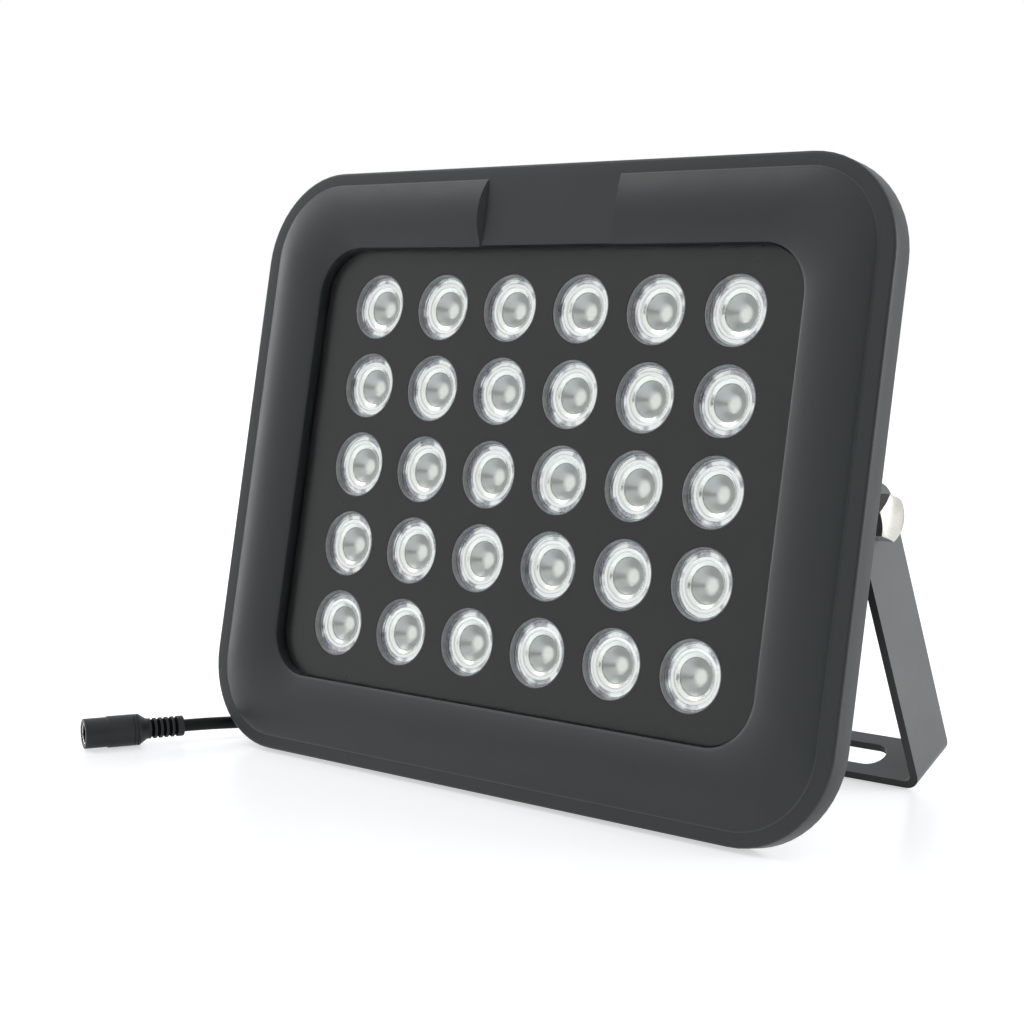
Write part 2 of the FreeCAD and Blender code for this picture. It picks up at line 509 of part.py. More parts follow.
def make_pivot_bolt(side):
    """A hexagon bolt that clamps one arm, with its head outwards along x and a chamfered end face."""
    head = hexagon(BOLT_AF, BOLT_HEAD_H, BOLT_TURN_DEG)
    corner = BOLT_AF / math.sqrt(3) + PAST
    fall = (corner - BOLT_FACE_R) * math.tan(math.radians(BOLT_CHAMFER_DEG))
    dome = turned([(0, 0), (corner, 0), (corner, BOLT_HEAD_H - fall), (BOLT_FACE_R, BOLT_HEAD_H),
                   (0, BOLT_HEAD_H)], (0, 0, 0), (0, 0, 1))
    head = head.common(dome)
    body = head.fuse(rod(BOLT_R, (0, 0, BOSS_FACE - BOLT_REACH - ARM_OUT - SIDE_PLAY), (0, 0, 0)))
    turn = FreeCAD.Rotation(FreeCAD.Vector(0, 1, 0), FreeCAD.Vector(0, 0, 1), FreeCAD.Vector(1, 0, 0), "XZY")
    if side < 0:
        turn = FreeCAD.Rotation(FreeCAD.Vector(0, 0, 1), 180).multiply(turn)
    body.Placement = FreeCAD.Placement(FreeCAD.Vector(side * (ARM_OUT + SIDE_PLAY), PIVOT_BACK, 0), turn)
    return body


def make_pivot_washer(side):
    x0, x1 = side * BOSS_FACE, side * (BOSS_FACE + WASHER_T)
    ring = rod(WASHER_R, (x0, PIVOT_BACK, 0), (x1, PIVOT_BACK, 0))
    return ring.cut(rod(BOLT_R + 2 * FIT, (x0 - side, PIVOT_BACK, 0), (x1 + side, PIVOT_BACK, 0)))


# Boot, leads, cord and socket

def make_cord_boot():
    bore, neck = CORD_R + FIT, BOOT_NECK_R - FIT
    profile = [
        (bore, -BOOT_NECK_LENGTH), (neck, -BOOT_NECK_LENGTH), (neck, 0.0), (BOOT_FLANGE_R, 0.0),
        (BOOT_FLANGE_R, BOOT_FLANGE_T), (BOOT_ROOT_R, BOOT_FLANGE_T), (BOOT_TIP_R, BOOT_LENGTH), (bore, BOOT_LENGTH),
    ]
    return turned(profile, (-BOOT_SEAT_X, BOOT_BACK, BOOT_UP), (-1, 0, 0))


def make_supply_leads():
    """Two insulated leads from the boot to the terminal block."""
    start = BOOT_NECK_LENGTH - BOOT_SEAT_X
    y = DRIVER_FRONT - TERMINAL_T / 2
    leads = []
    for side in (-1, 1):
        z, end_z = BOOT_UP + side * SUPPLY_LEAD_OUT, side * TERMINAL_WAY
        points = [(start, BOOT_BACK, z), (start + SUPPLY_LEAD_END, BOOT_BACK, z),
                  (TERMINAL_X - SUPPLY_LEAD_END, y, end_z), (TERMINAL_X, y, end_z)]
        leads.append(tube(points, LEAD_R)[0])
    return leads


def make_led_leads():
    """Two insulated leads from the driver board forward to the heat spreader."""
    leads = []
    for side in (-1, 1):
        x = DRIVER_W / 2 - LED_LEAD_INSET + side * LED_LEAD_OUT
        points = [(x, DRIVER_FRONT, LED_LEAD_LOW), (x, DRIVER_FRONT - LED_LEAD_END, LED_LEAD_LOW),
                  (x, SPREADER_REAR + LED_LEAD_END, LED_LEAD_HIGH), (x, SPREADER_REAR, LED_LEAD_HIGH)]
        leads.append(tube(points, LEAD_R)[0])
    return leads


def boot_tip():
    tip = FreeCAD.Vector(-BOOT_SEAT_X - BOOT_LENGTH, BOOT_BACK, BOOT_UP)
    return HEAD.multVec(tip)


def socket_frame():
    """The socket's back end and its heading towards the cord, flat on the floor."""
    x, y = SOCKET_BACK_END
    way = FreeCAD.Vector(SOCKET_HEADING[0], SOCKET_HEADING[1], 0)
    way.normalize()
    return FreeCAD.Vector(x, y + SHIFT, SOCKET_R), way


def socket_piece(profile):
    """A turned piece of the socket, measured from its open end towards the cord."""
    back, way = socket_frame()
    length = SOCKET_NOSE_LENGTH + SOCKET_BODY_LENGTH + SOCKET_SHOULDER + RELIEF_LENGTH
    return turned(profile, tuple(back - way * length), tuple(way))


def make_socket_body():
    a = SOCKET_NOSE_LENGTH
    b = a + SOCKET_BODY_LENGTH
    c = b + SOCKET_SHOULDER
    end = c + RELIEF_LENGTH
    bore = SLEEVE_R + FIT
    profile = [(bore, 0), (SOCKET_NOSE_R - SOCKET_EDGE, 0), (SOCKET_NOSE_R, SOCKET_EDGE), (SOCKET_NOSE_R, a),
               (SOCKET_R, a), (SOCKET_R, b), (RELIEF_R, c)]
    for i in range(RELIEF_GROOVES):
        g = c + RELIEF_PLAIN + i * RELIEF_GROOVE_PITCH
        profile += [(RELIEF_R, g), (RELIEF_GROOVE_R, g), (RELIEF_GROOVE_R, g + RELIEF_GROOVE_W),
                    (RELIEF_R, g + RELIEF_GROOVE_W)]
    profile += [(RELIEF_R, end), (0, end), (0, SOCKET_DEPTH), (bore, SOCKET_DEPTH)]
    return socket_piece(profile)


def make_socket_sleeve():
    wall = SLEEVE_R - SLEEVE_WALL
    return socket_piece([(wall, SLEEVE_SETBACK), (SLEEVE_R, SLEEVE_SETBACK), (SLEEVE_R, SOCKET_DEPTH),
                         (wall, SOCKET_DEPTH)])


def make_socket_pin():
    tip = SOCKET_DEPTH - PIN_LENGTH
    return socket_piece([(0, tip), (PIN_TIP_R, tip), (PIN_R, tip + PIN_TIP_LENGTH), (PIN_R, SOCKET_DEPTH),
                         (0, SOCKET_DEPTH)])


def make_cord():
    back, _ = socket_frame()
    route = [tuple(boot_tip())] + [(x, y + SHIFT, z) for x, y, z in CORD_ROUTE] + [tuple(back)]
    solid, length, radii = tube(route, CORD_R)
    print("cord route", [tuple(round(c, 2) for c in p) for p in route])
    print("cord length %.1f, arc radii %s" % (length, [round(r, 1) for r in radii]))
    print("cord volume %.1f, section times length %.1f" % (solid.Volume, math.pi * CORD_R ** 2 * length))
    return solid


# Stance of the head and the bracket, with the origin under the middle of the object

lean = math.radians(LEAN_DEG)
EDGE_Z = (FRAME_H / 2 - BACK_EDGE_R) * math.cos(lean) + (FRAME_BACK - BACK_EDGE_R) * math.sin(lean) + BACK_EDGE_R
EDGE_Y = FRAME_H / 2 * math.sin(lean) - FRAME_BACK * math.cos(lean)
PIVOT_Z = EDGE_Z - PIVOT_BACK * math.sin(lean)
PIVOT_Y = EDGE_Y + PIVOT_BACK * math.cos(lean)
SWING = math.radians(SWING_DEG)
BRACKET_DROP = (PIVOT_Z - STRIP_W / 2 * math.sin(SWING)) / math.cos(SWING)
BACK_MOST = PIVOT_Y + BRACKET_DROP * math.sin(SWING) + STRIP_W / 2 * math.cos(SWING)
FRONT_MOST = EDGE_Y - (FRAME_H / 2 - FRONT_EDGE_R) * math.sin(lean) \
    + (RIM_FRONT + FRONT_EDGE_R) * math.cos(lean) - FRONT_EDGE_R
SHIFT = -(BACK_MOST + FRONT_MOST) / 2
HEAD = FreeCAD.Placement(FreeCAD.Vector(0, EDGE_Y + SHIFT, EDGE_Z),
                         FreeCAD.Rotation(FreeCAD.Vector(1, 0, 0), -LEAN_DEG))
BRACKET = FreeCAD.Placement(FreeCAD.Vector(0, PIVOT_Y + SHIFT, PIVOT_Z),
                            FreeCAD.Rotation(FreeCAD.Vector(1, 0, 0), SWING_DEG))


def save(node, shape, placement=None):
    shape = Part.makeCompound(shape) if isinstance(shape, list) else shape
    if placement is not None:
        shape = shape.copy()
        shape.Placement = placement.multiply(shape.Placement)
    solids = shape.Solids
    if not shape.isValid() or not solids:
        raise ValueError("bad shape: " + node)
    shape = solids[0] if len(solids) == 1 else Part.makeCompound(solids)
    shape.exportStep("parts/%s.step" % node)


def main():
    os.makedirs("parts", exist_ok=True)
    head = {
        "front_frame": make_front_frame(), "glass_pane": make_glass_pane(), "mask_plate": make_mask_plate(),
        "glass_seal": make_glass_seal(), "led_board": make_led_board(), "led_emitters": make_led_emitters(),
        "heat_spreader": make_heat_spreader(), "board_screws": make_board_screws(),
        "rear_housing": make_rear_housing(), "housing_seal": make_housing_seal(),
        "frame_screws": make_frame_screws(), "driver_board": make_driver_board(),
        "driver_screws": make_driver_screws(), "driver_coil": make_driver_coil(),
        "driver_capacitors": make_driver_capacitors(), "terminal_block": make_terminal_block(),
        "supply_leads": make_supply_leads(), "led_leads": make_led_leads(), "cord_boot": make_cord_boot(),
    }
    for node, (x, z) in LENS_PLACES.items():
        head[node] = make_lens(x, z)
    for name, side in (("left", -1), ("right", 1)):
        head["pivot_bolt_" + name] = make_pivot_bolt(side)
        head["pivot_washer_" + name] = make_pivot_washer(side)
    for node, shape in head.items():
        save(node, shape, HEAD)
    save("bracket", make_bracket(), BRACKET)
    save("cord", make_cord())
    save("socket_body", make_socket_body())
    save("socket_sleeve", make_socket_sleeve())
    save("socket_pin", make_socket_pin())
    print("shift %.3f, pivot y %.3f z %.3f, drop %.3f" % (SHIFT, PIVOT_Y + SHIFT, PIVOT_Z, BRACKET_DROP))
    print("head origin y %.3f z %.3f" % (EDGE_Y + SHIFT, EDGE_Z))


main()
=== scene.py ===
import json
import math

import bmesh
import bpy
from bpy.props import FloatProperty, FloatVectorProperty, IntProperty, PointerProperty
from mathutils import Matrix, Vector

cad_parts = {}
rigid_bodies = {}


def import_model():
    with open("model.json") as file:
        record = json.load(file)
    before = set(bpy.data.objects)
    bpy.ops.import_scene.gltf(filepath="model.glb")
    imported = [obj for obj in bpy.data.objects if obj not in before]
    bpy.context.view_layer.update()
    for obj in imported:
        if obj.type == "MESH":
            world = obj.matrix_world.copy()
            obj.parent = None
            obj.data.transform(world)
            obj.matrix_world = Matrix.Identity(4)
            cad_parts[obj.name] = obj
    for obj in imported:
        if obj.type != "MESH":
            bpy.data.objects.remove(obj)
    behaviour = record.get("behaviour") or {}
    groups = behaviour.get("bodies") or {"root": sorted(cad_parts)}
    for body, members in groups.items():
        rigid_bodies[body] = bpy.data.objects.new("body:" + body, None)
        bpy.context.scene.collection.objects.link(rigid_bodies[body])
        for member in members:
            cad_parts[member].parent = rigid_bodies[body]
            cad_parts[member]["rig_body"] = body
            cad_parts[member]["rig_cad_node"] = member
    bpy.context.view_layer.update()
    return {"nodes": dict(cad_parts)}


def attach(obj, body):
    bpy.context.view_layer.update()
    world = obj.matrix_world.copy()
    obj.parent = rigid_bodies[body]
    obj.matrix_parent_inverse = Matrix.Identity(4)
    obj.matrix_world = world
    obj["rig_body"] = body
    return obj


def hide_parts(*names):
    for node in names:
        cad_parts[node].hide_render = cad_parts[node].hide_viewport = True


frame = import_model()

bl_info = {
    "name": "Infrared flood lamp",
    "version": (1, 0, 0),
    "blender": (4, 5, 0),
    "location": "View3D > Sidebar > Lamp",
    "description": "Dresses the packed flood lamp with modelled pieces, finishes, a stage and a camera",
    "category": "Add Mesh",
}

MM = 0.001

# Points nearer than this are merged, in metres
MERGE_GAP = 0.000002
# How near a point lies to an outline that it belongs to, across it and in depth, in millimetres
OUTLINE_GAP, DEPTH_GAP = 0.05, 0.02

# The camera of the photograph, as solved from its lenses: its place in millimetres and its way
EYE = Vector((383.47, -484.03, 147.24))
LOOK = Vector((-0.64750, 0.75396, -0.11084))
# The soft lights point here, in metres
LAMP_TARGET = Vector((0, 0, 0.09))
# The floor's own glow, which only the camera and reflections see
FLOOR_GLOW = 0.54

# The head is modelled upright, x to the right, y to the back and z up, and then leans on the floor
LEAN = math.radians(11.28)
HEAD_PLACE = (0.0, -33.878, 91.603)
HEAD = Matrix.Translation([c * MM for c in HEAD_PLACE]) @ Matrix.Rotation(-LEAN, 4, "X")
ROWS, COLUMNS = 5, 6

# Outlines of the front frame in millimetres: how much less wide and high than the outer edge, or for the
# ledge than the window, and the radius of the corners
CREASE, STEP, SKIRT = (9.8, 8.0, 24.1), (10.7, 8.9, 23.65), (7.0, 7.0, 25.5)
LAND, LEDGE = (20.0, 20.0, 20.0), (10.0, 10.0, 9.5)
OUTER_RADIUS, WINDOW_RADIUS = 29.0, 14.5
# Its depths, from the front to the back
RIM_DEPTH, SEAT_DEPTH, BACK_DEPTH = -2.4, 2.3, 5.0
STEP_RISE, CHANNEL = 0.32, 3.6
# The swell's rings run from the step to a lip that is first laid deeper, so that each has its own depth
RINGS, LIP_SUNK = 20, 10.0
PAD_DRAFT = math.radians(25.0)

# Slots of a lens's finishes
CLEAR, DISH, PIT = 0, 1, 2
# Where the pit and the bright dish end on a lens, in millimetres from its axis and along the head's depth
PIT_RADIUS, PIT_FRONT, PIT_BACK = 5.4, 4.16, 9
DISH_RADIUS, DISH_BACK = 9.52, 6

# Route of the cord's middle in millimetres, from the boot to the socket
CORD_POINTS = [
    (-98.4, -7.6, 86.36), (-112.0, -7.6, 86.36), (-128.0, -4.07, 76.0), (-138.5, 3.43, 57.5),
    (-144.5, 14.93, 37.0), (-148.5, 28.93, 18.0), (-150.8, 45.43, 5.2), (-151.5, 62.93, 2.0),
    (-143.5, 75.43, 2.0), (-128.5, 79.93, 2.0), (-114.0, 73.93, 2.0), (-106.2, 60.93, 2.0),
    (-105.3, 39.93, 2.0), (-108.0, 15.93, 2.0), (-109.8, -7.07, 2.1), (-110.6, -26.57, 3.0),
    (-111.6, -40.6, 4.2), (-116.7, -53.0, 5.05), (-120.7, -61.05, 5.05),
]
# Where the cord meets the socket, the way of its axis from the nose to there, and its sizes in millimetres
SOCKET_END = Vector(CORD_POINTS[-1])
SOCKET_WAY = Vector((0.446, 0.895, 0.0)).normalized()
SOCKET_LENGTH, HOLE_DEPTH = 32.3, 10.5
RELIEF_START, GROOVES, GROOVE_PITCH = 21.5, 5, 1.9


# Sizes and colours that a user would change

class StageSettings(bpy.types.PropertyGroup):
    floor_colour: FloatVectorProperty(
        name="Floor colour", description="Colour of the floor sheet", subtype="COLOR",
        size=3, min=0, max=1, default=(0.80, 0.81, 0.83))
    lens_length: FloatProperty(
        name="Camera lens", description="Focal length of the camera on a 36 mm sensor, in millimetres",
        default=71.56, min=20, max=200)
    key_power: FloatProperty(
        name="Key light", description="Power of the large soft light on the left", unit="POWER",
        default=5.0, min=0)
    fill_power: FloatProperty(
        name="Fill light", description="Power of the soft light on the right", unit="POWER",
        default=11.0, min=0)
    top_power: FloatProperty(
        name="Top light", description="Power of the soft light overhead", unit="POWER",
        default=3.0, min=0)
    ambient: FloatProperty(
        name="Ambient light", description="Brightness of the studio's walls as a light", default=0.55, min=0)


class HeadSettings(bpy.types.PropertyGroup):
    frame_width: FloatProperty(
        name="Frame width", description="Width of the front frame", unit="LENGTH", default=234 * MM)
    frame_height: FloatProperty(
        name="Frame height", description="Height of the front frame", unit="LENGTH", default=185 * MM)
    window_width: FloatProperty(
        name="Window width", description="Width of the opening for the glass", unit="LENGTH",
        default=182 * MM)
    window_height: FloatProperty(
        name="Window height", description="Height of the opening for the glass", unit="LENGTH",
        default=136 * MM)
    bulge_rise: FloatProperty(
        name="Bulge rise", description="How far the border swells in front of the rim", unit="LENGTH",
        default=2.4 * MM)
    pad_width: FloatProperty(
        name="Pad width", description="Width of the bare flat at the top of the border", unit="LENGTH",
        default=50 * MM)
    coating_colour: FloatVectorProperty(
        name="Coating colour", description="Colour of the powder coating on the castings", subtype="COLOR",
        size=3, min=0, max=1, default=(0.0125, 0.0172, 0.0184))
    mask_colour: FloatVectorProperty(
        name="Mask colour", description="Colour of the sheet behind the glass", subtype="COLOR",
        size=3, min=0, max=1, default=(0.022, 0.0226, 0.0226))


class LensSettings(bpy.types.PropertyGroup):
    pitch_x: FloatProperty(
        name="Pitch across", description="Distance between lenses along a row", unit="LENGTH",
        default=27 * MM)
    pitch_z: FloatProperty(
        name="Pitch up", description="Distance between the rows", unit="LENGTH",
        default=25 * MM)
    segments: IntProperty(
        name="Segments", description="Sides of each turned lens", default=48, min=16, max=96)
    bright_colour: FloatVectorProperty(
        name="Dish colour", description="Colour of the lens's bright dish", subtype="COLOR",
        size=3, min=0, max=1, default=(0.95, 0.955, 0.96))


class CordSettings(bpy.types.PropertyGroup):
    diameter: FloatProperty(
        name="Cord diameter", description="Diameter of the supply cord", unit="LENGTH", default=4 * MM)
    cord_colour: FloatVectorProperty(
        name="Cord colour", description="Colour of the cord's jacket", subtype="COLOR",
        size=3, min=0, max=1, default=(0.008, 0.0085, 0.009))
    socket_colour: FloatVectorProperty(
        name="Socket colour", description="Colour of the moulded socket", subtype="COLOR",
        size=3, min=0, max=1, default=(0.023, 0.026, 0.028))


class BracketSettings(bpy.types.PropertyGroup):
    paint_colour: FloatVectorProperty(
        name="Bracket colour", description="Colour of the coating on the folded bracket", subtype="COLOR",
        size=3, min=0, max=1, default=(0.102, 0.109, 0.112))
    steel_colour: FloatVectorProperty(
        name="Bolt colour", description="Colour of the bright pivot bolts", subtype="COLOR",
        size=3, min=0, max=1, default=(0.57, 0.56, 0.52))


# Modelling with operators

def clear_selection():
    if bpy.context.view_layer.objects.active and bpy.context.object.mode != "OBJECT":
        bpy.ops.object.mode_set(mode="OBJECT")
    bpy.ops.object.select_all(action="DESELECT")


def select_only(piece):
    clear_selection()
    piece.select_set(True)
    bpy.context.view_layer.objects.active = piece


def open_piece(name):
    """Names the primitive just added and opens it in edit mode."""
    piece = bpy.context.active_object
    piece.name = name
    piece.data.name = name
    bpy.ops.object.mode_set(mode="EDIT")
    return piece


def pick(kind, test):
    """Selects only the points, edges or faces that the test accepts, and says how many."""
    bpy.ops.mesh.select_mode(type=kind)
    bpy.ops.mesh.select_all(action="DESELECT")
    mesh = bpy.context.edit_object.data
    bm = bmesh.from_edit_mesh(mesh)
    bm.normal_update()
    found = [e for e in {"VERT": bm.verts, "EDGE": bm.edges, "FACE": bm.faces}[kind] if test(e)]
    for e in found:
        e.select_set(True)
    bm.select_flush_mode()
    bmesh.update_edit_mesh(mesh)
    return len(found)


def mend_faces():
    """In edit mode, merges doubles and turns the faces outwards."""
    bpy.ops.mesh.select_all(action="SELECT")
    bpy.ops.mesh.remove_doubles(threshold=MERGE_GAP)
    bpy.ops.mesh.normals_make_consistent(inside=False)


def close_piece(piece, smooth_deg=35.0):
    """Mends the faces, leaves edit mode and shades by angle."""
    mend_faces()
    select_only(piece)
    bpy.ops.object.shade_smooth_by_angle(angle=math.radians(smooth_deg))
    return piece


def push(x=0.0, y=0.0, z=0.0):
    bpy.ops.transform.translate(value=(x * MM, y * MM, z * MM))


def turned_piece(name, profile, segments=48, smooth_deg=35.0):
    """A turned piece on the z axis: one ring, extruded and resized along (radius, height) points."""
    clear_selection()
    radius, height = profile[0]
    bpy.ops.mesh.primitive_circle_add(vertices=segments, radius=radius * MM, fill_type="TRIFAN")
    piece = open_piece(name)
    push(z=height)
    pick("EDGE", lambda e: len(e.link_faces) == 1)
    for r, h in profile[1:]:
        bpy.ops.mesh.extrude_region_move(TRANSFORM_OT_translate={"value": (0, 0, (h - height) * MM)})
        if r > 0 and r != radius:
            bpy.ops.transform.resize(value=(r / radius, r / radius, 1), center_override=(0, 0, h * MM))
        if r == 0:
            bpy.ops.mesh.merge(type="CENTER")
            break
        radius, height = r, h
    return close_piece(piece, smooth_deg)


def outline_gap(x, z, width, height, radius):
    """How far a point is from a rounded outline."""
    dx, dz = abs(x) - width / 2 + radius, abs(z) - height / 2 + radius
    outside = math.hypot(max(dx, 0), max(dz, 0))
    return abs(outside + min(max(dx, dz), 0) - radius)


def on_outline(width, height, radius, y):
    """A test for the edges that lie on a rounded outline."""
    def test(edge):
        return all(abs(v.co.y / MM - y) < DEPTH_GAP and
                   outline_gap(v.co.x / MM, v.co.z / MM, width, height, radius) < OUTLINE_GAP
                   for v in edge.verts)
    return test


def add_outline(width, height, radius, y, segments=14):
    """In edit mode, adds one rounded outline across y: a plane, resized, its corners bevelled."""
    bpy.ops.mesh.select_mode(type="VERT")
    bpy.ops.mesh.select_all(action="DESELECT")
    bpy.ops.mesh.primitive_plane_add(size=MM, rotation=(math.pi / 2, 0, 0), location=(0, y * MM, 0))
    bpy.ops.transform.resize(value=(width, 1, height), center_override=(0, y * MM, 0))
    bpy.ops.mesh.bevel(offset=radius * MM, segments=segments, profile=0.5, affect="VERTICES",
                       clamp_overlap=False)
    bpy.ops.mesh.delete(type="ONLY_FACE")


def join_outlines(first, second, cuts=0):
    """Bridges two rounded outlines, each (width, height, radius, y), or fills between two in one plane."""
    tests = [on_outline(*first), on_outline(*second)]
    pick("EDGE", lambda e: any(t(e) for t in tests))
    if first[3] == second[3] and cuts == 0:
        bpy.ops.mesh.fill(use_beauty=True)
    else:
        bpy.ops.mesh.bridge_edge_loops(number_cuts=cuts, interpolation="LINEAR")


def face_place(face):
    """On a piece turned about z, the radius and height of a face's middle in millimetres."""
    return Vector((face.center.x, face.center.y)).length / MM, face.center.z / MM


def put_in_head(piece):
    piece.data.transform(HEAD)
    return piece


def smooth_copy(node, name, smooth_deg=32.0, flat_deg=0.3):
    """A copy of a CAD node's mesh, merged and shaded by angle, that stands for the node."""
    piece = frame["nodes"][node].copy()
    piece.data = piece.data.copy()
    piece.name = name
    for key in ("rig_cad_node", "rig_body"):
        if key in piece:
            del piece[key]
    piece.parent = None
    bpy.context.scene.collection.objects.link(piece)
    select_only(piece)
    bpy.ops.mesh.customdata_custom_splitnormals_clear()
    bpy.ops.object.mode_set(mode="EDIT")
    bpy.ops.mesh.select_all(action="SELECT")
    bpy.ops.mesh.remove_doubles(threshold=MERGE_GAP)
    bpy.ops.mesh.dissolve_limited(angle_limit=math.radians(flat_deg))
    bpy.ops.object.mode_set(mode="OBJECT")
    bpy.ops.object.shade_smooth_by_angle(angle=math.radians(smooth_deg))
    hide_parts(node)
    return piece


# Finishes

class Finish:
    """One node material round a Principled shader, on Object coordinates unless told otherwise."""

    def __init__(self, name, roughness=0.5, metallic=0.0, coat=0.0, shine=0.5):
        self.material = bpy.data.materials.new(name)
        self.material.use_nodes = True
        self.nodes = self.material.node_tree.nodes
        self.links = self.material.node_tree.links
        self.shader = self.nodes["Principled BSDF"]
        self.shader.inputs["Roughness"].default_value = roughness
        self.shader.inputs["Metallic"].default_value = metallic
        self.shader.inputs["Coat Weight"].default_value = coat
        self.shader.inputs["Specular IOR Level"].default_value = shine
        self.place = self.nodes.new("ShaderNodeTexCoord").outputs["Object"]
        self.normal = None

    def node(self, kind, values=None, **settings):
        made = self.nodes.new(kind)
        for key, value in settings.items():
            setattr(made, key, value)
        for key, value in (values or {}).items():
            self.feed(made.inputs[key], value)
        return made

    def feed(self, entry, value):
        if isinstance(value, bpy.types.NodeSocket):
            self.links.new(value, entry)
        else:
            entry.default_value = value

    def stretched(self, x, y, z):
        return self.node("ShaderNodeMapping", {"Vector": self.place, "Scale": (x, y, z)}).outputs["Vector"]

    def noise(self, scale, detail=2.0, rough=0.5, place=None):
        return self.node("ShaderNodeTexNoise", {
            "Vector": place or self.place, "Scale": scale, "Detail": detail, "Roughness": rough,
        }).outputs["Fac"]

    def cells(self, scale, place=None, output="Distance"):
        return self.node("ShaderNodeTexVoronoi", {
            "Vector": place or self.place, "Scale": scale}).outputs[output]

    def spread(self, value, low, high, start=0.0, end=1.0):
        return self.node("ShaderNodeMapRange", {
            "Value": value, "From Min": start, "From Max": end, "To Min": low, "To Max": high,
        }).outputs["Result"]

    def sum(self, first, second, operation="ADD"):
        made = self.node("ShaderNodeMath", operation=operation)
        self.feed(made.inputs[0], first)
        self.feed(made.inputs[1], second)
        return made.outputs[0]

    def ramp(self, value, stops):
        made = self.node("ShaderNodeValToRGB", {"Fac": value})
        band = made.color_ramp
        while len(band.elements) < len(stops):
            band.elements.new(0.5)
        for element, (at, colour) in zip(band.elements, stops):
            element.position = at
            element.color = (*colour, 1.0)
        return made.outputs["Color"]

    def blend(self, share, first, second):
        made = self.node("ShaderNodeMix", data_type="RGBA")
        self.feed(made.inputs["Factor"], share)
        self.feed(made.inputs[6], first)
        self.feed(made.inputs[7], second)
        return made.outputs[2]

    def colour(self, value):
        self.feed(self.shader.inputs["Base Color"], value)

    def roughness(self, value):
        self.feed(self.shader.inputs["Roughness"], value)

    def bump(self, height, strength, depth):
        values = {"Height": height, "Strength": strength, "Distance": depth * MM}
        if self.normal:
            values["Normal"] = self.normal
        self.normal = self.node("ShaderNodeBump", values).outputs["Normal"]
        self.feed(self.shader.inputs["Normal"], self.normal)


def tinted(colour, share):
    return tuple(min(1.0, c * share) for c in colour)


def coating(name, colour, rough=0.44, grain=1100.0, depth=0.05):
    """Powder coating: fine orange peel, faint clouding and a few paler dust specks."""
    f = Finish(name, rough)
    clouds = f.noise(18.0, 4.0, 0.6)
    base = f.ramp(clouds, [(0.3, tinted(colour, 0.86)), (0.7, tinted(colour, 1.16))])
    specks = f.spread(f.cells(260.0), 1.0, 0.0, 0.02, 0.06)
    f.colour(f.blend(f.sum(specks, 0.25, "MULTIPLY"), base, (*tinted(colour, 2.6), 1)))
    peel = f.noise(grain, 2.0, 0.55)
    f.roughness(f.spread(f.noise(90.0, 3.0), rough - 0.05, rough + 0.07))
    f.bump(peel, 0.5, depth)
    f.bump(f.noise(grain * 0.28, 1.0), 0.25, depth * 2)
    return f.material


def rubber(name, colour, rough=0.62, shine=0.3):
    """Dull rubber or cloth, clouded and finely grained."""
    f = Finish(name, rough, shine=shine)
    f.colour(f.ramp(f.noise(60.0, 3.0), [(0.3, tinted(colour, 0.8)), (0.7, tinted(colour, 1.3))]))
    f.roughness(f.spread(f.noise(400.0), rough - 0.08, rough + 0.1))
    f.bump(f.noise(1800.0, 2.0), 0.35, 0.03)
    return f.material


def plastic(name, colour, rough=0.4, shine=0.5):
    """Moulded plastic with a fine spark-eroded grain."""
    f = Finish(name, rough, shine=shine)
    f.colour(f.ramp(f.noise(70.0, 3.0), [(0.3, tinted(colour, 0.88)), (0.7, tinted(colour, 1.15))]))
    f.roughness(f.spread(f.noise(300.0, 2.0), rough - 0.06, rough + 0.08))
    f.bump(f.cells(1600.0), 0.25, 0.03)
    return f.material


def film(name, colour, rough=0.3):
    """Smooth printed film under glass, a little uneven over its sheet."""
    f = Finish(name, rough)
    f.colour(f.ramp(f.noise(35.0, 3.0), [(0.3, tinted(colour, 0.92)), (0.7, tinted(colour, 1.08))]))
    f.roughness(f.spread(f.noise(120.0, 2.0), rough - 0.05, rough + 0.05))
    f.bump(f.noise(90.0), 0.05, 0.02)
    return f.material


def metal(name, colour, rough=0.3, brushed=(1.0, 1.0, 1.0), depth=0.01):
    """Bare or plated metal with fine drawn lines and faint stains."""
    f = Finish(name, rough, metallic=1.0)
    lines = f.noise(900.0, 4.0, 0.7, f.stretched(*brushed))
    stains = f.noise(45.0, 3.0)
    f.colour(f.ramp(stains, [(0.25, tinted(colour, 0.82)), (0.75, tinted(colour, 1.08))]))
    f.roughness(f.sum(f.spread(lines, rough - 0.1, rough + 0.12), f.spread(stains, -0.04, 0.04)))
    f.bump(lines, 0.35, depth)
    return f.material


def board(name, colour, rough=0.35):
    """Circuit board with solder resist, darker in the patches of its tracks."""
    f = Finish(name, rough)
    tracks = f.cells(160.0, f.stretched(1.0, 1.0, 0.6), "Color")
    grey = f.node("ShaderNodeRGBToBW", {"Color": tracks}).outputs["Val"]
    f.colour(f.ramp(grey, [(0.45, tinted(colour, 0.8)), (0.55, tinted(colour, 1.1))]))
    f.roughness(f.spread(f.noise(300.0), rough - 0.05, rough + 0.1))
    f.bump(grey, 0.2, 0.03)
    return f.material


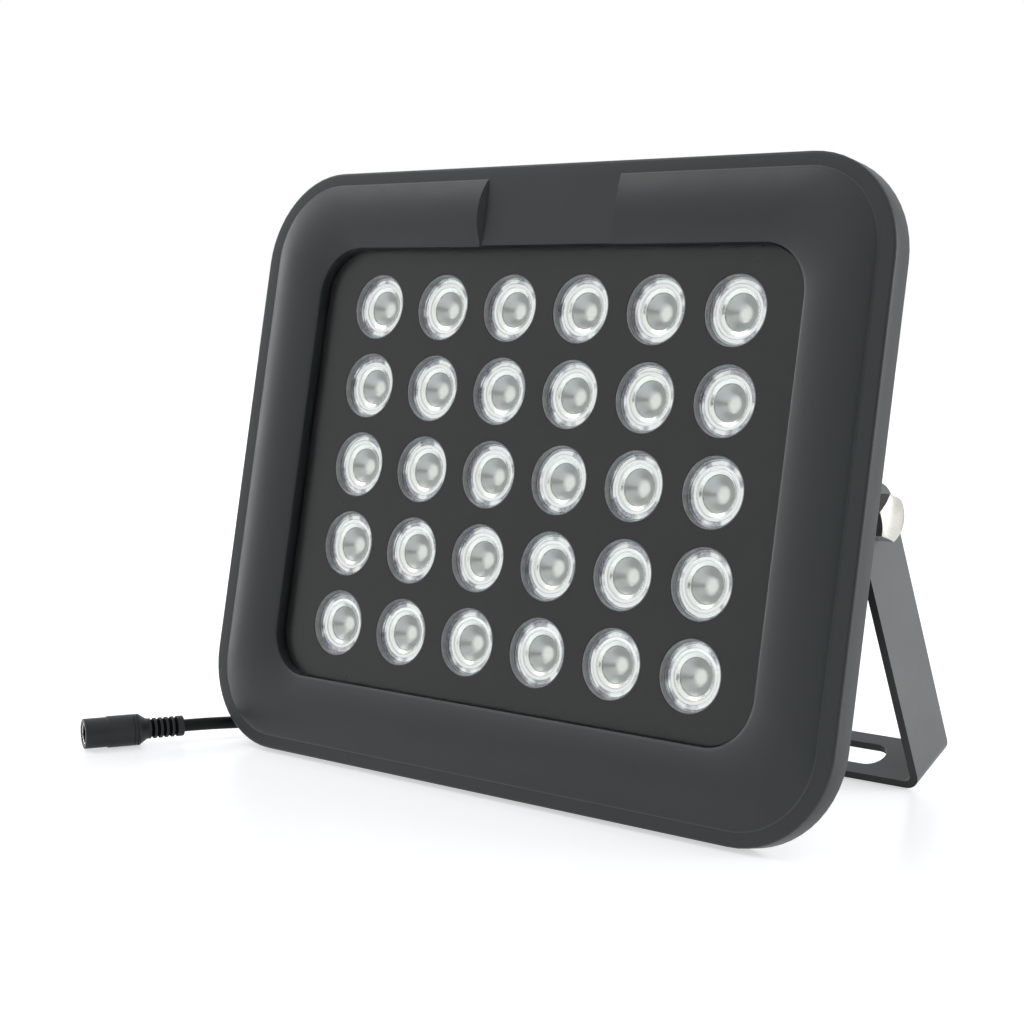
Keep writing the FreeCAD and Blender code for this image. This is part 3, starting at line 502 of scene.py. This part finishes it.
def pane_glass():
    """Clear flat glass: it passes what is behind it and mirrors the studio at a low slant, while
    the sheen seen straight on is in the film that lies against it."""
    f = Finish("clear_pane")
    clear = f.node("ShaderNodeBsdfTransparent", {"Color": (0.97, 0.98, 0.975, 1)}).outputs["BSDF"]
    dust = f.spread(f.noise(45.0, 3.0), 0.01, 0.04, 0.3, 0.8)
    gloss = f.node("ShaderNodeBsdfGlossy", {"Color": (1, 1, 1, 1), "Roughness": dust}).outputs["BSDF"]
    slant = f.sum(f.node("ShaderNodeLayerWeight", {"Blend": 0.5}).outputs["Facing"], 5.0, "POWER")
    share = f.spread(slant, 0.0, 1.0, 0.004, 1.0)
    mixed = f.node("ShaderNodeMixShader", {"Fac": share})
    f.links.new(clear, mixed.inputs[1])
    f.links.new(gloss, mixed.inputs[2])
    out = f.nodes["Material Output"]
    f.links.new(mixed.outputs[0], out.inputs["Surface"])
    f.nodes.remove(f.shader)
    return f.material


def seen_directly(tree):
    """In a node tree, 1 for a ray of the camera, a reflection or a transmission, and 0 for the rest."""
    path = tree.nodes.new("ShaderNodeLightPath")
    seen = path.outputs["Is Camera Ray"]
    for other in ("Is Glossy Ray", "Is Transmission Ray"):
        most = tree.nodes.new("ShaderNodeMath")
        most.operation = "MAXIMUM"
        tree.links.new(seen, most.inputs[0])
        tree.links.new(path.outputs[other], most.inputs[1])
        seen = most.outputs[0]
    return seen


def use_finish(piece, *materials):
    piece.data.materials.clear()
    for m in materials:
        piece.data.materials.append(m)


def dress(node, material):
    """Gives a CAD node that stays a finish of its own."""
    obj = frame["nodes"][node]
    for place in obj.material_slots:
        place.material = material


def send(piece, body):
    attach(piece, body)


# One operator for each piece or group of like pieces

class LAMP_OT_stage(bpy.types.Operator):
    """Floor, studio walls, soft lights, a dark cloth for reflections and the camera"""
    bl_idname = "lamp.stage"
    bl_label = "Stage"

    def execute(self, context):
        s = context.scene.lamp_stage
        scene = context.scene
        scene.view_settings.view_transform = "Standard"
        self.add_floor(s)
        self.add_world(scene, s)
        self.add_lights(scene, s)
        self.add_card()
        self.add_camera(scene, s)
        return {"FINISHED"}

    def add_lights(self, scene, s):
        # name, place and side in metres, power
        for name, at, size, power in (
                ("key_light", (-1.5, 0.05, 0.3), 0.8, s.key_power),
                ("fill_light", (1.3, 0.7, 0.5), 0.8, s.fill_power),
                ("top_light", (-0.85, -0.4, 1.15), 0.7, s.top_power)):
            lamp = bpy.data.lights.new(name, "AREA")
            lamp.shape = "SQUARE"
            lamp.size = size
            lamp.energy = power
            holder = bpy.data.objects.new(name, lamp)
            holder.location = at
            holder.rotation_euler = (LAMP_TARGET - Vector(at)).to_track_quat("-Z", "Y").to_euler()
            scene.collection.objects.link(holder)

    def add_camera(self, scene, s):
        lens = bpy.data.cameras.new("camera")
        lens.lens = s.lens_length
        lens.sensor_width = 36.0
        lens.clip_start = 0.01
        eye = bpy.data.objects.new("camera", lens)
        eye.location = EYE * MM
        eye.rotation_euler = LOOK.to_track_quat("-Z", "Y").to_euler()
        scene.collection.objects.link(eye)
        scene.camera = eye

    def add_floor(self, s):
        """A pale sheet with a glow of its own."""
        clear_selection()
        bpy.ops.mesh.primitive_plane_add(size=6.0)
        floor = open_piece("floor")
        bpy.ops.mesh.subdivide(number_cuts=3)
        bpy.ops.object.mode_set(mode="OBJECT")
        f = Finish("studio_floor", 0.28, shine=0.35)
        f.colour(f.ramp(f.noise(2.0), [(0.3, tinted(s.floor_colour, 0.98)), (0.7, tuple(s.floor_colour))]))
        strength = f.sum(seen_directly(f.material.node_tree), FLOOR_GLOW, "MULTIPLY")
        glow = f.node("ShaderNodeEmission", {"Color": (1, 1, 1, 1), "Strength": strength})
        added = f.node("ShaderNodeAddShader")
        f.links.new(f.shader.outputs[0], added.inputs[0])
        f.links.new(glow.outputs[0], added.inputs[1])
        f.links.new(added.outputs[0], f.nodes["Material Output"].inputs["Surface"])
        use_finish(floor, f.material)

    def add_card(self):
        """A dark cloth hung on the right in front, clear of the floor, which only reflections see."""
        clear_selection()
        middle, width, height_share, turn = (1.1, -1.5, 0.62), 1.5, 0.45, 0.45
        bpy.ops.mesh.primitive_plane_add(size=width, location=middle, rotation=(math.radians(90), 0, turn))
        card = open_piece("dark_cloth")
        bpy.ops.transform.resize(value=(1, 1, height_share), center_override=middle)
        bpy.ops.mesh.subdivide(number_cuts=3)
        bpy.ops.object.mode_set(mode="OBJECT")
        use_finish(card, rubber("dark_cloth", (0.15, 0.15, 0.15), 0.9, shine=0.1))
        card.visible_camera = False
        card.visible_diffuse = False
        card.visible_shadow = False

    def add_world(self, scene, s):
        """Walls that light the lamp evenly and show as plain white."""
        world = bpy.data.worlds.new("studio")
        world.use_nodes = True
        nodes, links = world.node_tree.nodes, world.node_tree.links
        walls = nodes["Background"]
        walls.inputs["Strength"].default_value = s.ambient
        walls.inputs["Color"].default_value = (0.97, 0.985, 1.0, 1)
        white = nodes.new("ShaderNodeBackground")
        white.inputs["Color"].default_value = (1, 1, 1, 1)
        mixed = nodes.new("ShaderNodeMixShader")
        links.new(seen_directly(world.node_tree), mixed.inputs["Fac"])
        links.new(walls.outputs[0], mixed.inputs[1])
        links.new(white.outputs[0], mixed.inputs[2])
        links.new(mixed.outputs[0], nodes["World Output"].inputs["Surface"])
        scene.world = world


class LAMP_OT_front_frame(bpy.types.Operator):
    """Cast front frame: rim, swollen border, bare pad, window ledge and the hollow back"""
    bl_idname = "lamp.front_frame"
    bl_label = "Front frame"

    def execute(self, context):
        s = context.scene.lamp_head
        w, h = s.frame_width / MM, s.frame_height / MM
        ow, oh = s.window_width / MM, s.window_height / MM
        rim, seat, back, floor = RIM_DEPTH, SEAT_DEPTH, BACK_DEPTH, BACK_DEPTH - CHANNEL
        crease = (*self.inset(w, h, CREASE), rim)
        step = (*self.inset(w, h, STEP), rim - STEP_RISE)
        outer = (w, h, OUTER_RADIUS, rim)
        lip = (ow, oh, WINDOW_RADIUS, rim)
        low_lip = (*lip[:3], rim + LIP_SUNK)
        clear_selection()
        bpy.ops.mesh.primitive_plane_add(size=MM)
        piece = open_piece("front_frame_casting")
        bpy.ops.mesh.delete(type="VERT")
        for loop in (crease, step, low_lip):
            add_outline(*loop)
        join_outlines(step, low_lip, RINGS - 1)
        self.swell(step, low_lip, s.bulge_rise / MM)
        join_outlines(crease, step)
        # the outer wall, its back edge, the channel, the land, the ledge for the glass and the window's wall
        outer_back, skirt = (*outer[:3], back), (*self.inset(w, h, SKIRT), back)
        land, ledge = self.inset(w, h, LAND), self.inset(ow, oh, LEDGE)
        path = [crease, outer, outer_back, skirt, (*skirt[:3], floor), (*land, floor), (*land, back),
                (*ledge, back), (*ledge, seat), (*lip[:3], seat), lip]
        for before, loop in zip(path, path[1:-1]):
            add_outline(*loop)
            join_outlines(before, loop)
        join_outlines(path[-2], lip)
        mend_faces()
        self.cut_pad(s.pad_width / MM, rim, oh, h)
        # each edge with its rounding in millimetres and the segments of that
        for loop, size, segments in ((outer, 0.9, 5), (outer_back, 0.5, 3), (skirt, 0.4, 2), (lip, 0.28, 2)):
            pick("EDGE", on_outline(*loop))
            bpy.ops.mesh.bevel(offset=size * MM, segments=segments, profile=0.5, affect="EDGES")
        coat = tuple(s.coating_colour)
        # the second slot is a paler copy of the coating, a painted highlight on the narrow step round the
        # swell
        use_finish(piece, coating("cast_coating", coat),
                   coating("cast_coating_step_highlight", tinted(coat, 2.4), 0.36))
        self.paint_step_highlight(crease, step)
        close_piece(piece, 24.0)
        put_in_head(piece)
        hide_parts("front_frame")
        send(piece, "head")
        return {"FINISHED"}

    def inset(self, width, height, less):
        """Width, height and corner radius of an outline that is set in from another."""
        return width - less[0], height - less[1], less[2]

    def paint_step_highlight(self, crease, step):
        """Gives the narrow step round the swell a paler copy of its coating, a painted highlight along the
        step.
        """
        both = [on_outline(*crease), on_outline(*step)]
        pick("FACE", lambda f: all(any(t(e) for e in f.edges) for t in both))
        bpy.context.object.active_material_index = 1
        bpy.ops.object.material_slot_assign()

    def swell(self, step, low_lip, rise):
        """Moves each ring between the step and the lip onto the arc of the swell."""
        chord, top, base = (step[0] - low_lip[0]) / 2, step[3], low_lip[3]
        # the rise is told from the rim, and the arc starts on the step
        rise = rise + (top - base + LIP_SUNK)
        arc = (chord ** 2 / 4 + rise ** 2) / (2 * rise)
        for i in range(1, RINGS + 1):
            share = i / RINGS
            at = top + (base - top) * share
            line = top + (base - LIP_SUNK - top) * share
            up = math.sqrt(arc ** 2 - ((share - 0.5) * chord) ** 2) - (arc - rise)
            near = 0.1
            pick("VERT", lambda v: abs(v.co.y / MM - at) < near)
            push(y=line - up - at)

    def cut_pad(self, width, rim, opening, height):
        """Cuts the swell away down to a flat, between two drafted end walls."""
        half = width / 2
        # the part of the border that is searched: its height, a little more than the swell's, and its reach
        low, high, far = opening / 2 - 0.4, height / 2 - 3.9, 100
        # how near counts as on a plane, how far before the rim the swell's faces lie at least, and how far
        # the pad's own edges may pass the part searched
        hair, lift, slack = 0.01, 0.002, 0.5

        def wall_at(y):
            return half + (rim - y) * math.tan(PAD_DRAFT)

        def on_swell(f):
            c = f.calc_center_median() / MM
            return low < c.z < high and c.y < rim + hair and abs(f.normal.y) > 0.5 and abs(c.x) < far

        for side in (-1, 1):
            pick("FACE", on_swell)
            bpy.ops.mesh.bisect(plane_co=(side * half * MM, rim * MM, 0),
                                plane_no=(side * math.cos(PAD_DRAFT), math.sin(PAD_DRAFT), 0))

        def between(f):
            c = f.calc_center_median() / MM
            return low < c.z < high and c.y < rim - lift and abs(c.x) < wall_at(c.y) - hair

        if not pick("FACE", between):
            raise RuntimeError("the pad's place was not found on the border")
        bpy.ops.mesh.delete(type="FACE")

        def on_wall(side):
            def test(e):
                return len(e.link_faces) == 1 and all(
                    abs(side * v.co.x / MM - wall_at(v.co.y / MM)) < 3 * hair and
                    low - slack < v.co.z / MM < high + slack for v in e.verts)
            return test

        for side in (-1, 1):
            pick("EDGE", on_wall(side))
            bpy.ops.mesh.extrude_region_move()
            bpy.ops.transform.resize(value=(0, 0, 1), center_override=(side * half * MM, rim * MM, 0))

        def on_floor(e):
            a, b = (v.co / MM for v in e.verts)
            return abs(a.x - b.x) < hair and all(
                abs(abs(p.x) - half) < hair and abs(p.y - rim) < hair and
                low - slack < p.z < high + slack for p in (a, b))

        pick("EDGE", on_floor)
        bpy.ops.mesh.bridge_edge_loops()


class LAMP_OT_glass_and_mask(bpy.types.Operator):
    """Finishes of the glass pane, the mask sheet behind it and the seals"""
    bl_idname = "lamp.glass_and_mask"
    bl_label = "Glass, mask and seals"

    def execute(self, context):
        s = context.scene.lamp_head
        dress("glass_pane", pane_glass())
        mask = film("mask_film", tuple(s.mask_colour))
        piece = smooth_copy("mask_plate", "mask_sheet")
        # a hair of air behind the glass, so that the two faces don't lie in one plane
        air = 0.06 * MM
        piece.data.transform(HEAD @ Matrix.Translation((0, air, 0)) @ HEAD.inverted())
        use_finish(piece, mask)
        send(piece, "head")
        seal = rubber("seal_rubber", (0.008, 0.008, 0.008))
        for node in ("glass_seal", "housing_seal"):
            dress(node, seal)
        return {"FINISHED"}


class LAMP_OT_lenses(bpy.types.Operator):
    """Thirty clear lenses, turned once and copied to their places"""
    bl_idname = "lamp.lenses"
    bl_label = "Lenses"

    def execute(self, context):
        s = context.scene.lamp_lens
        first = turned_piece("lens_master", self.profile(), s.segments, 28.0)
        use_finish(first, *self.finishes(s))
        self.sort_faces(first)
        for row in range(ROWS):
            for column in range(COLUMNS):
                node = "lens_%d_%d" % (row + 1, column + 1)
                x = (column - (COLUMNS - 1) / 2) * s.pitch_x
                z = ((ROWS - 1) / 2 - row) * s.pitch_z
                piece = first.copy()
                piece.data = first.data.copy()
                piece.name = node + "_turned"
                context.scene.collection.objects.link(piece)
                # the lens's own axis, z, points to the back of the head
                place = Matrix.Translation((x, 0, z)) @ Matrix.Rotation(-math.pi / 2, 4, "X")
                piece.data.transform(HEAD @ place)
                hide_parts(node)
                send(piece, "head")
        bpy.data.objects.remove(first)
        return {"FINISHED"}

    def profile(self):
        """The lens from the middle of its pit out over the dish and the rim, then back to the foot, each
        point by radius and depth in the head, with the depths of the main steps named."""
        lip, front, dish, disc, pit = 1.26, 2.2, 2.95, 4.2, 6.7
        points = [(0.6, pit), (1.5, pit - 0.02), (2.2, pit - 0.1), (2.7, pit - 0.32), (3.3, pit - 0.95)]
        points += [(4.1, pit - 1.55), (4.75, disc + 0.4), (5.12, disc + 0.16), (5.3, disc + 0.05)]
        points += [(5.37, disc - 0.02), (5.44, disc - 0.14), (5.6, disc - 0.2), (5.95, dish + 0.86)]
        points += [(6.5, dish + 0.6), (6.82, dish + 0.52), (6.88, dish + 0.4), (7.0, dish + 0.38)]
        points += [(7.75, dish + 0.28), (7.85, dish + 0.16), (7.97, dish + 0.14), (8.8, dish + 0.06)]
        points += [(8.98, dish + 0.12), (9.04, dish - 0.08), (9.24, dish - 0.08), (9.32, dish + 0.06)]
        points += [(9.5, dish + 0.04), (9.54, dish - 0.2), (9.62, dish - 0.28), (9.65, dish - 0.5)]
        points += [(9.7, dish - 0.58), (9.8, lip + 0.1), (9.88, lip), (10.1, lip), (10.18, lip + 0.08)]
        points += [(10.18, front), (10.7, front), (10.85, front + 0.06)]
        points += [(10.9, front + 0.2), (10.9, front + 4.4), (10.2, 8.2), (9.2, 10.2), (7.9, 12.6)]
        points += [(6.5, 15.0), (6.2, 15.5), (3.6, 15.5), (3.6, 13.4), (3.3, 13.1), (0.0, 13.1)]
        return points

    def sort_faces(self, piece):
        """Gives the pit, the bright dish and the clear rest their own finishes, and stores each
        point's place on the lens for the patterns."""
        place = piece.data.attributes.new("lens_place", "FLOAT_VECTOR", "POINT")
        for v in piece.data.vertices:
            place.data[v.index].vector = v.co / MM
        for p in piece.data.polygons:
            radius, depth = face_place(p)
            if radius < PIT_RADIUS and PIT_FRONT < depth < PIT_BACK:
                p.material_index = PIT
            elif radius < DISH_RADIUS and depth < DISH_BACK:
                p.material_index = DISH
            else:
                p.material_index = CLEAR

    def finishes(self, s):
        """In the order of the slots CLEAR, DISH and PIT."""
        return [self.clear_rim(), self.bright_dish(s), self.grey_pit()]

    def polar(self, f):
        """Switches the finish to the lens's own millimetres. Gives the radius there, and a pattern
        place that goes round with the way out from the axis and differs from lens to lens."""
        own = f.place
        f.place = f.node("ShaderNodeAttribute", attribute_name="lens_place").outputs["Vector"]
        split = f.node("ShaderNodeSeparateXYZ", {"Vector": f.place})
        flat = f.node("ShaderNodeCombineXYZ", {
            "X": split.outputs["X"], "Y": split.outputs["Y"]}).outputs["Vector"]
        radius = f.node("ShaderNodeVectorMath", {0: flat}, operation="LENGTH").outputs["Value"]
        way = f.node("ShaderNodeVectorMath", {0: flat}, operation="NORMALIZE").outputs["Vector"]
        round_it = f.node("ShaderNodeVectorMath", {0: own, 1: (25, 25, 25), 2: way},
                          operation="MULTIPLY_ADD").outputs["Vector"]
        return radius, round_it, own

    def clear_rim(self):
        """Clear wall of the cup, grey against the dark head, with fine turned lines."""
        f = Finish("lens_rim", 0.25, coat=0.5)
        _, round_it, own = self.polar(f)
        lines = f.noise(1.0, 3.0, 0.7, f.stretched(0.5, 0.5, 9.0))
        streaks = f.noise(4.0, 3.0, 0.6, round_it)
        shade = f.ramp(f.sum(f.sum(lines, 0.6, "MULTIPLY"), f.sum(streaks, 0.4, "MULTIPLY")), [
            (0.36, (0.24, 0.243, 0.25)), (0.5, (0.33, 0.335, 0.345)), (0.66, (0.44, 0.445, 0.455))])
        clouds = f.spread(f.noise(40.0, 2.0, place=own), 0.0, 0.35)
        f.colour(f.blend(clouds, shade, (0.3, 0.308, 0.31, 1)))
        f.roughness(f.spread(f.noise(1.5), 0.18, 0.34))
        f.bump(lines, 0.2, 0.04)
        return f.material

    def bright_dish(self, s):
        """Bright dish round the middle: turned rings, cream inside and silvery flecked bands outside. Its
        colour holds painted reflection: the bright and dark bands of the rings and grey flecked sectors on
        the outer dish.
        """
        f = Finish("lens_dish", 0.2, metallic=0.85)
        radius, round_it, own = self.polar(f)
        wander = f.sum(radius, f.spread(f.noise(1.6, 2.0, place=round_it), -0.14, 0.14, 0.3, 0.7))
        white, cream = tuple(s.bright_colour), (0.93, 0.94, 0.91)
        # the rings' bright and dark bands are painted reflection of the studio
        rings = f.ramp(f.spread(wander, 0, 1, 4.7, 9.7), [
            (0.02, (0.93, 0.93, 0.92)), (0.12, cream), (0.33, cream), (0.38, (0.68, 0.68, 0.68)),
            (0.43, white), (0.58, white), (0.61, (0.74, 0.74, 0.76)), (0.65, white), (0.84, white),
            (0.87, (0.35, 0.36, 0.37)), (0.91, (0.8, 0.81, 0.83)), (0.96, (0.35, 0.36, 0.38))])
        # painted reflection: grey flecked sectors on the outer dish, at random angles that differ from lens
        # to lens
        painted_grey_reflection = f.sum(f.spread(f.noise(1.1, 1.0, place=round_it), 0.0, 0.85, 0.47, 0.56),
                          f.spread(radius, 0.0, 1.0, 7.5, 7.9), "MULTIPLY")
        flecks = f.spread(f.noise(1500.0, 3.0, 0.7, own), 0.35, 1.0, 0.42, 0.6)
        lilac = f.blend(flecks, (0.12, 0.12, 0.13, 1), (0.5, 0.5, 0.54, 1))
        f.colour(f.blend(painted_grey_reflection, rings, lilac))
        f.roughness(f.spread(f.noise(1.2), 0.14, 0.3))
        f.bump(f.noise(0.5, 2.0), 0.3, 0.3)
        return f.material

    def grey_pit(self):
        """Middle of the lens: a grey bowl with a painted highlight on its floor, a pale spot that stands for
        the image of the emitter.
        """
        f = Finish("lens_pit", 0.3, metallic=0.6)
        radius, _, _ = self.polar(f)
        wander = f.sum(radius, f.spread(f.noise(0.9), -0.3, 0.3))
        # painted highlight: near white round the axis, standing for the emitter's image in the pit
        f.colour(f.ramp(f.spread(wander, 0, 1, 0, PIT_RADIUS), [
            (0.0, (1.0, 1.0, 0.97)), (0.24, (0.99, 0.99, 0.96)), (0.46, (0.62, 0.63, 0.62)),
            (0.75, (0.58, 0.59, 0.59)), (0.95, (0.6, 0.61, 0.6)), (0.99, (0.35, 0.35, 0.35))]))
        f.roughness(f.spread(f.noise(1.4), 0.26, 0.42))
        f.bump(f.noise(1.4, 2.0), 0.12, 0.1)
        return f.material


class LAMP_OT_inside(bpy.types.Operator):
    """Finishes of the boards, the heat spreader and the driver inside the head"""
    bl_idname = "lamp.inside"
    bl_label = "Inside of the head"

    def execute(self, context):
        for node, material in (
                ("led_board", board("white_board", (0.78, 0.78, 0.76))),
                ("led_emitters", plastic("emitter_face", (0.75, 0.6, 0.12), 0.3)),
                ("heat_spreader", metal("mill_aluminium", (0.78, 0.79, 0.8), 0.35, (0.05, 1, 1))),
                ("board_screws", metal("zinc_plate", (0.72, 0.74, 0.76), 0.3)),
                ("driver_screws", metal("zinc_plate_small", (0.72, 0.74, 0.76), 0.3)),
                ("driver_board", board("green_board", (0.02, 0.16, 0.06))),
                ("driver_coil", plastic("ferrite_core", (0.03, 0.03, 0.032), 0.6)),
                ("driver_capacitors", metal("capacitor_can", (0.6, 0.62, 0.66), 0.35)),
                ("terminal_block", plastic("terminal_green", (0.03, 0.3, 0.08), 0.4)),
                ("supply_leads", plastic("lead_red", (0.5, 0.02, 0.015), 0.4)),
                ("led_leads", plastic("lead_red_inner", (0.5, 0.02, 0.015), 0.4))):
            dress(node, material)
        return {"FINISHED"}


class LAMP_OT_housing(bpy.types.Operator):
    """Rear housing with its fins and bosses, and the screws of its flange"""
    bl_idname = "lamp.housing"
    bl_label = "Rear housing"

    def execute(self, context):
        s = context.scene.lamp_head
        piece = smooth_copy("rear_housing", "rear_housing_casting")
        use_finish(piece, coating("housing_coating", tuple(s.coating_colour), 0.48))
        send(piece, "head")
        screws = smooth_copy("frame_screws", "flange_screws")
        use_finish(screws, metal("zinc_screws", (0.7, 0.72, 0.74), 0.3))
        send(screws, "head")
        return {"FINISHED"}


class LAMP_OT_bracket(bpy.types.Operator):
    """Folded bracket with its slots, and the bolts and washers of the pivots"""
    bl_idname = "lamp.bracket"
    bl_label = "Bracket and pivots"

    def execute(self, context):
        s = context.scene.lamp_bracket
        piece = smooth_copy("bracket", "bracket_strip")
        paint = tuple(s.paint_colour)
        use_finish(piece, coating("bracket_paint", paint, 0.4),
                   coating("bracket_edge_painted_shade", tinted(paint, 0.16), 0.6))
        # painted shade: the sheet's front and back edges get a much darker copy of its paint, so they are
        # darker than its faces
        for p in piece.data.polygons:
            p.material_index = 1 if abs(p.normal.y) > 0.75 and abs(p.normal.x) < 0.5 else 0
        send(piece, "bracket")
        steel = metal("bright_steel", tuple(s.steel_colour), 0.28)
        washer = rubber("washer_rubber", (0.012, 0.012, 0.012))
        for side in ("left", "right"):
            bolt = smooth_copy("pivot_bolt_" + side, "hexagon_bolt_" + side)
            use_finish(bolt, steel)
            send(bolt, "head")
            ring = smooth_copy("pivot_washer_" + side, "rubber_washer_" + side)
            use_finish(ring, washer)
            send(ring, "head")
        return {"FINISHED"}


class LAMP_OT_cord(bpy.types.Operator):
    """Supply cord as one smooth curve, its boot and the socket on its end"""
    bl_idname = "lamp.cord"
    bl_label = "Cord and socket"

    def execute(self, context):
        s = context.scene.lamp_cord
        shape = bpy.data.curves.new("supply_cord", "CURVE")
        shape.dimensions = "3D"
        line = shape.splines.new("NURBS")
        line.points.add(len(CORD_POINTS) - 1)
        for point, (x, y, z) in zip(line.points, CORD_POINTS):
            point.co = (x * MM, y * MM, z * MM, 1.0)
        line.order_u = 3
        line.use_endpoint_u = True
        line.resolution_u = 10
        shape.bevel_depth = s.diameter / 2
        shape.bevel_resolution = 6
        shape.use_fill_caps = True
        cord = bpy.data.objects.new("supply_cord", shape)
        context.scene.collection.objects.link(cord)
        shape.materials.append(plastic("cord_jacket", tuple(s.cord_colour), 0.5, shine=0.16))
        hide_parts("cord")
        send(cord, "head")
        boot = smooth_copy("cord_boot", "cord_boot_moulded")
        use_finish(boot, rubber("boot_rubber", (0.01, 0.01, 0.01)))
        send(boot, "head")
        pieces = self.add_socket(s)
        return {"FINISHED"}

    def add_socket(self, s):
        """Moulded body, spring sleeve and pin, turned and laid on the floor."""
        body = turned_piece("socket_moulding", self.body_profile(), 64, 30.0)
        moulded = tuple(s.socket_colour)
        use_finish(body, plastic("socket_plastic", moulded, 0.42, shine=0.3),
                   plastic("socket_painted_shade", tinted(moulded, 0.12), 0.7, shine=0.05))
        # painted shade: the relief's grooves and the socket's hole get a much darker copy of the plastic
        for p in body.data.polygons:
            radius, height = face_place(p)
            in_groove = height > RELIEF_START - 0.5 and 2.5 < radius < 3.1
            in_hole = 0.4 < height < HOLE_DEPTH + 0.5 and radius < 3.5
            if in_groove or in_hole:
                p.material_index = 1
        sleeve = turned_piece("socket_spring_sleeve", [
            (2.78, HOLE_DEPTH - 0.05), (2.8, 0.5), (2.86, 0.34), (3.2, 0.3), (3.28, 0.4), (3.3, HOLE_DEPTH),
            (0.0, HOLE_DEPTH)], 48)
        pin = turned_piece("socket_centre_pin", [
            (0.4, 1.42), (0.66, 1.5), (0.86, 1.7), (1.0, 2.0), (1.05, 2.4), (1.05, HOLE_DEPTH),
            (0.0, HOLE_DEPTH)], 32)
        plated = metal("nickel_plate", (0.72, 0.71, 0.66), 0.25)
        # the body's second finish is its painted shade
        dark = body.data.materials[1]
        use_finish(sleeve, plated, dark)
        use_finish(pin, plated)
        # painted shade: the sleeve's inner wall, which lies in the dark behind its rim, gets the socket's
        # darker copy of the plastic
        for p in sleeve.data.polygons:
            radius, height = face_place(p)
            if radius < 2.83 and height > 0.6:
                p.material_index = 1
        start = SOCKET_END - SOCKET_WAY * SOCKET_LENGTH
        turn = SOCKET_WAY.to_track_quat("Z", "Y").to_matrix().to_4x4()
        lay = Matrix.Translation(start * MM) @ turn
        pieces = []
        for piece, node, slot in (
                (body, "socket_body", "socket_black"),
                (sleeve, "socket_sleeve", "plated_metal"),
                (pin, "socket_pin", "plated_metal")):
            piece.data.transform(lay)
            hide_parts(node)
            send(piece, "head")
            pieces.append(piece)
        return pieces

    def body_profile(self):
        """From the floor of the socket out over the nose, body, shoulder and grooved relief, each
        point by radius and distance from the nose."""
        points = [(0.6, HOLE_DEPTH), (3.35, HOLE_DEPTH), (3.35, 0.3), (3.5, 0.05), (4.4, 0.0), (4.7, 0.12)]
        points += [(4.8, 0.4), (4.8, 7.3), (4.88, 7.5), (5.0, 7.56), (5.05, 7.7), (5.05, 15.4), (4.78, 15.5)]
        points += [(4.78, 15.8), (5.05, 15.9), (5.05, 16.5), (4.78, 16.6), (4.78, 16.9), (5.05, 17.0)]
        points += [(5.05, 17.7), (4.9, 17.9), (3.4, 20.1), (3.3, 20.3)]
        at = RELIEF_START
        for _ in range(GROOVES):
            points += [(3.3, at - 0.08), (3.2, at), (2.82, at + 0.08), (2.82, at + 0.92), (3.2, at + 1.0)]
            points += [(3.3, at + 1.08)]
            at += GROOVE_PITCH
        points += [(3.3, SOCKET_LENGTH - 0.3), (3.15, SOCKET_LENGTH - 0.05), (2.2, SOCKET_LENGTH)]
        points += [(0.0, SOCKET_LENGTH)]
        return points


class LAMP_PT_panel(bpy.types.Panel):
    bl_idname = "LAMP_PT_panel"
    bl_label = "Flood lamp"
    bl_space_type = "VIEW_3D"
    bl_region_type = "UI"
    bl_category = "Lamp"

    def draw(self, context):
        for step in STEPS:
            self.layout.operator(step.bl_idname)
        for name in SETTINGS:
            group = getattr(context.scene, name)
            box = self.layout.box()
            for prop in group.bl_rna.properties:
                if prop.identifier not in ("rna_type", "name"):
                    box.prop(group, prop.identifier)


SETTINGS = {
    "lamp_stage": StageSettings,
    "lamp_head": HeadSettings,
    "lamp_lens": LensSettings,
    "lamp_cord": CordSettings,
    "lamp_bracket": BracketSettings,
}
STEPS = (LAMP_OT_stage, LAMP_OT_front_frame, LAMP_OT_glass_and_mask, LAMP_OT_lenses, LAMP_OT_inside,
         LAMP_OT_housing, LAMP_OT_bracket, LAMP_OT_cord)


def register():
    for group in SETTINGS.values():
        bpy.utils.register_class(group)
    for name, group in SETTINGS.items():
        setattr(bpy.types.Scene, name, PointerProperty(type=group))
    for step in STEPS:
        bpy.utils.register_class(step)
    bpy.utils.register_class(LAMP_PT_panel)


def unregister():
    bpy.utils.unregister_class(LAMP_PT_panel)
    for step in reversed(STEPS):
        bpy.utils.unregister_class(step)
    for name in SETTINGS:
        delattr(bpy.types.Scene, name)
    for group in reversed(list(SETTINGS.values())):
        bpy.utils.unregister_class(group)


def main():
    register()
    bpy.ops.lamp.stage()
    bpy.ops.lamp.front_frame()
    bpy.ops.lamp.glass_and_mask()
    bpy.ops.lamp.lenses()
    bpy.ops.lamp.inside()
    bpy.ops.lamp.housing()
    bpy.ops.lamp.bracket()
    bpy.ops.lamp.cord()


if __name__ == "__main__":
    main()
